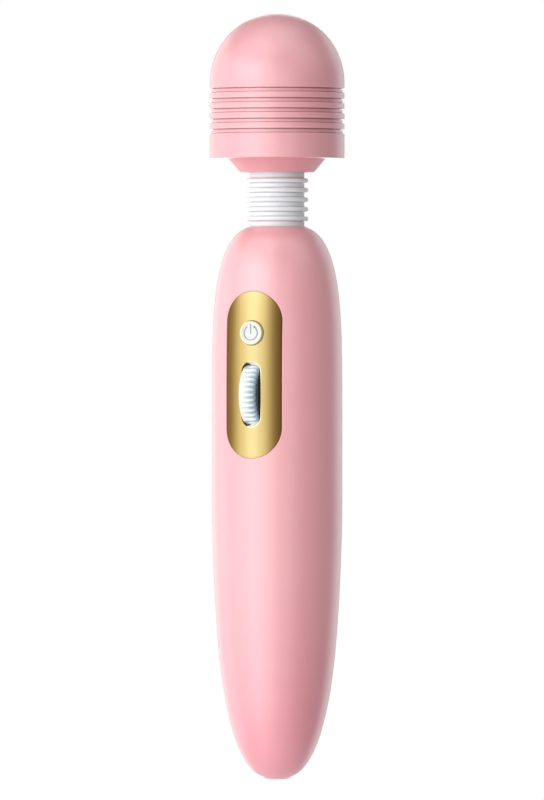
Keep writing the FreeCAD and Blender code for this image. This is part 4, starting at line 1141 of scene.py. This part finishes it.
world = bpy.data.worlds.new("studio")
bpy.context.scene.world = world
world.use_nodes = True
wn = world.node_tree
wn.nodes.clear()
out = wn.nodes.new("ShaderNodeOutputWorld")
bg_seen = wn.nodes.new("ShaderNodeBackground")
bg_seen.inputs["Color"].default_value = (1, 1, 1, 1)
bg_seen.inputs["Strength"].default_value = 1.0
bg_light = wn.nodes.new("ShaderNodeBackground")
mix = wn.nodes.new("ShaderNodeMixShader")
lp = wn.nodes.new("ShaderNodeLightPath")
wn.links.new(lp.outputs["Is Camera Ray"], mix.inputs["Fac"])
wn.links.new(bg_light.outputs["Background"], mix.inputs[1])
wn.links.new(bg_seen.outputs["Background"], mix.inputs[2])
wn.links.new(mix.outputs["Shader"], out.inputs["Surface"])
bg_light.inputs["Color"].default_value = (1.0, 1.0, 1.0, 1)
bg_light.inputs["Strength"].default_value = 0.289


def softbox(name, deg, elev, dist, w, h, power, color=(1, 1, 1), spread=180.0, aim_z=120.0):
    d = bpy.data.lights.new(name, "AREA")
    d.shape = "RECTANGLE"
    d.size, d.size_y = w * MM, h * MM
    d.energy = power
    d.color = color
    d.spread = math.radians(spread)
    ob = bpy.data.objects.new(name, d)
    bpy.context.scene.collection.objects.link(ob)
    aim = Vector((0, 0, aim_z * MM))
    ob.location = aim + cam_dir(deg, elev) * dist * MM
    ob.rotation_euler = (aim - ob.location).to_track_quat("-Z", "Y").to_euler()
    ob.visible_camera = False
    return ob


# upright strips side by side make one wide soft light, strongest 45 degrees left of the camera
for deg, wide, watts in ((-150, 330, 1.40), (-130, 330, 0.92), (-110, 330, 1.42), (-90, 330, 0.89), (-75, 240, 0.91), (-60, 240, 1.18),
                         (-45, 240, 1.99), (-30, 240, 1.60), (-15, 240, 1.41), (0, 240, 0.65), (20, 330, 0.74), (130, 330, 0.90),
                         (150, 330, 0.99)):
    softbox("strip_%d" % (deg % 360), deg, 0, 900, wide, 1200, watts)
softbox("strip_180", 180, 0, 900, 330, 1200, 2.2)
softbox("overhead", 0, 80, 900, 800, 800, 1.59)
softbox("high_left", -50, 42, 900, 1000, 900, 2.66)
softbox("high_right", 60, 45, 900, 600, 500, 0.54)

cam_data = bpy.data.cameras.new("camera")
cam = bpy.data.objects.new("camera", cam_data)
bpy.context.scene.collection.objects.link(cam)
right = Vector((math.cos(AZ), math.sin(AZ), 0))
shift = -right * (5.1 * MM_PX) * MM
aim = Vector((0, 0, 118.75 * MM)) + shift
cam.location = aim + cam_dir(0) * DIST * MM
cam.rotation_euler = (aim - cam.location).to_track_quat("-Z", "Y").to_euler()
cam_data.sensor_width = 36.0
cam_data.lens = 36.0 * DIST / (800 * MM_PX)
cam_data.clip_start, cam_data.clip_end = 0.05, 50.0
bpy.context.scene.camera = cam
bpy.context.scene.view_settings.view_transform = "Standard"
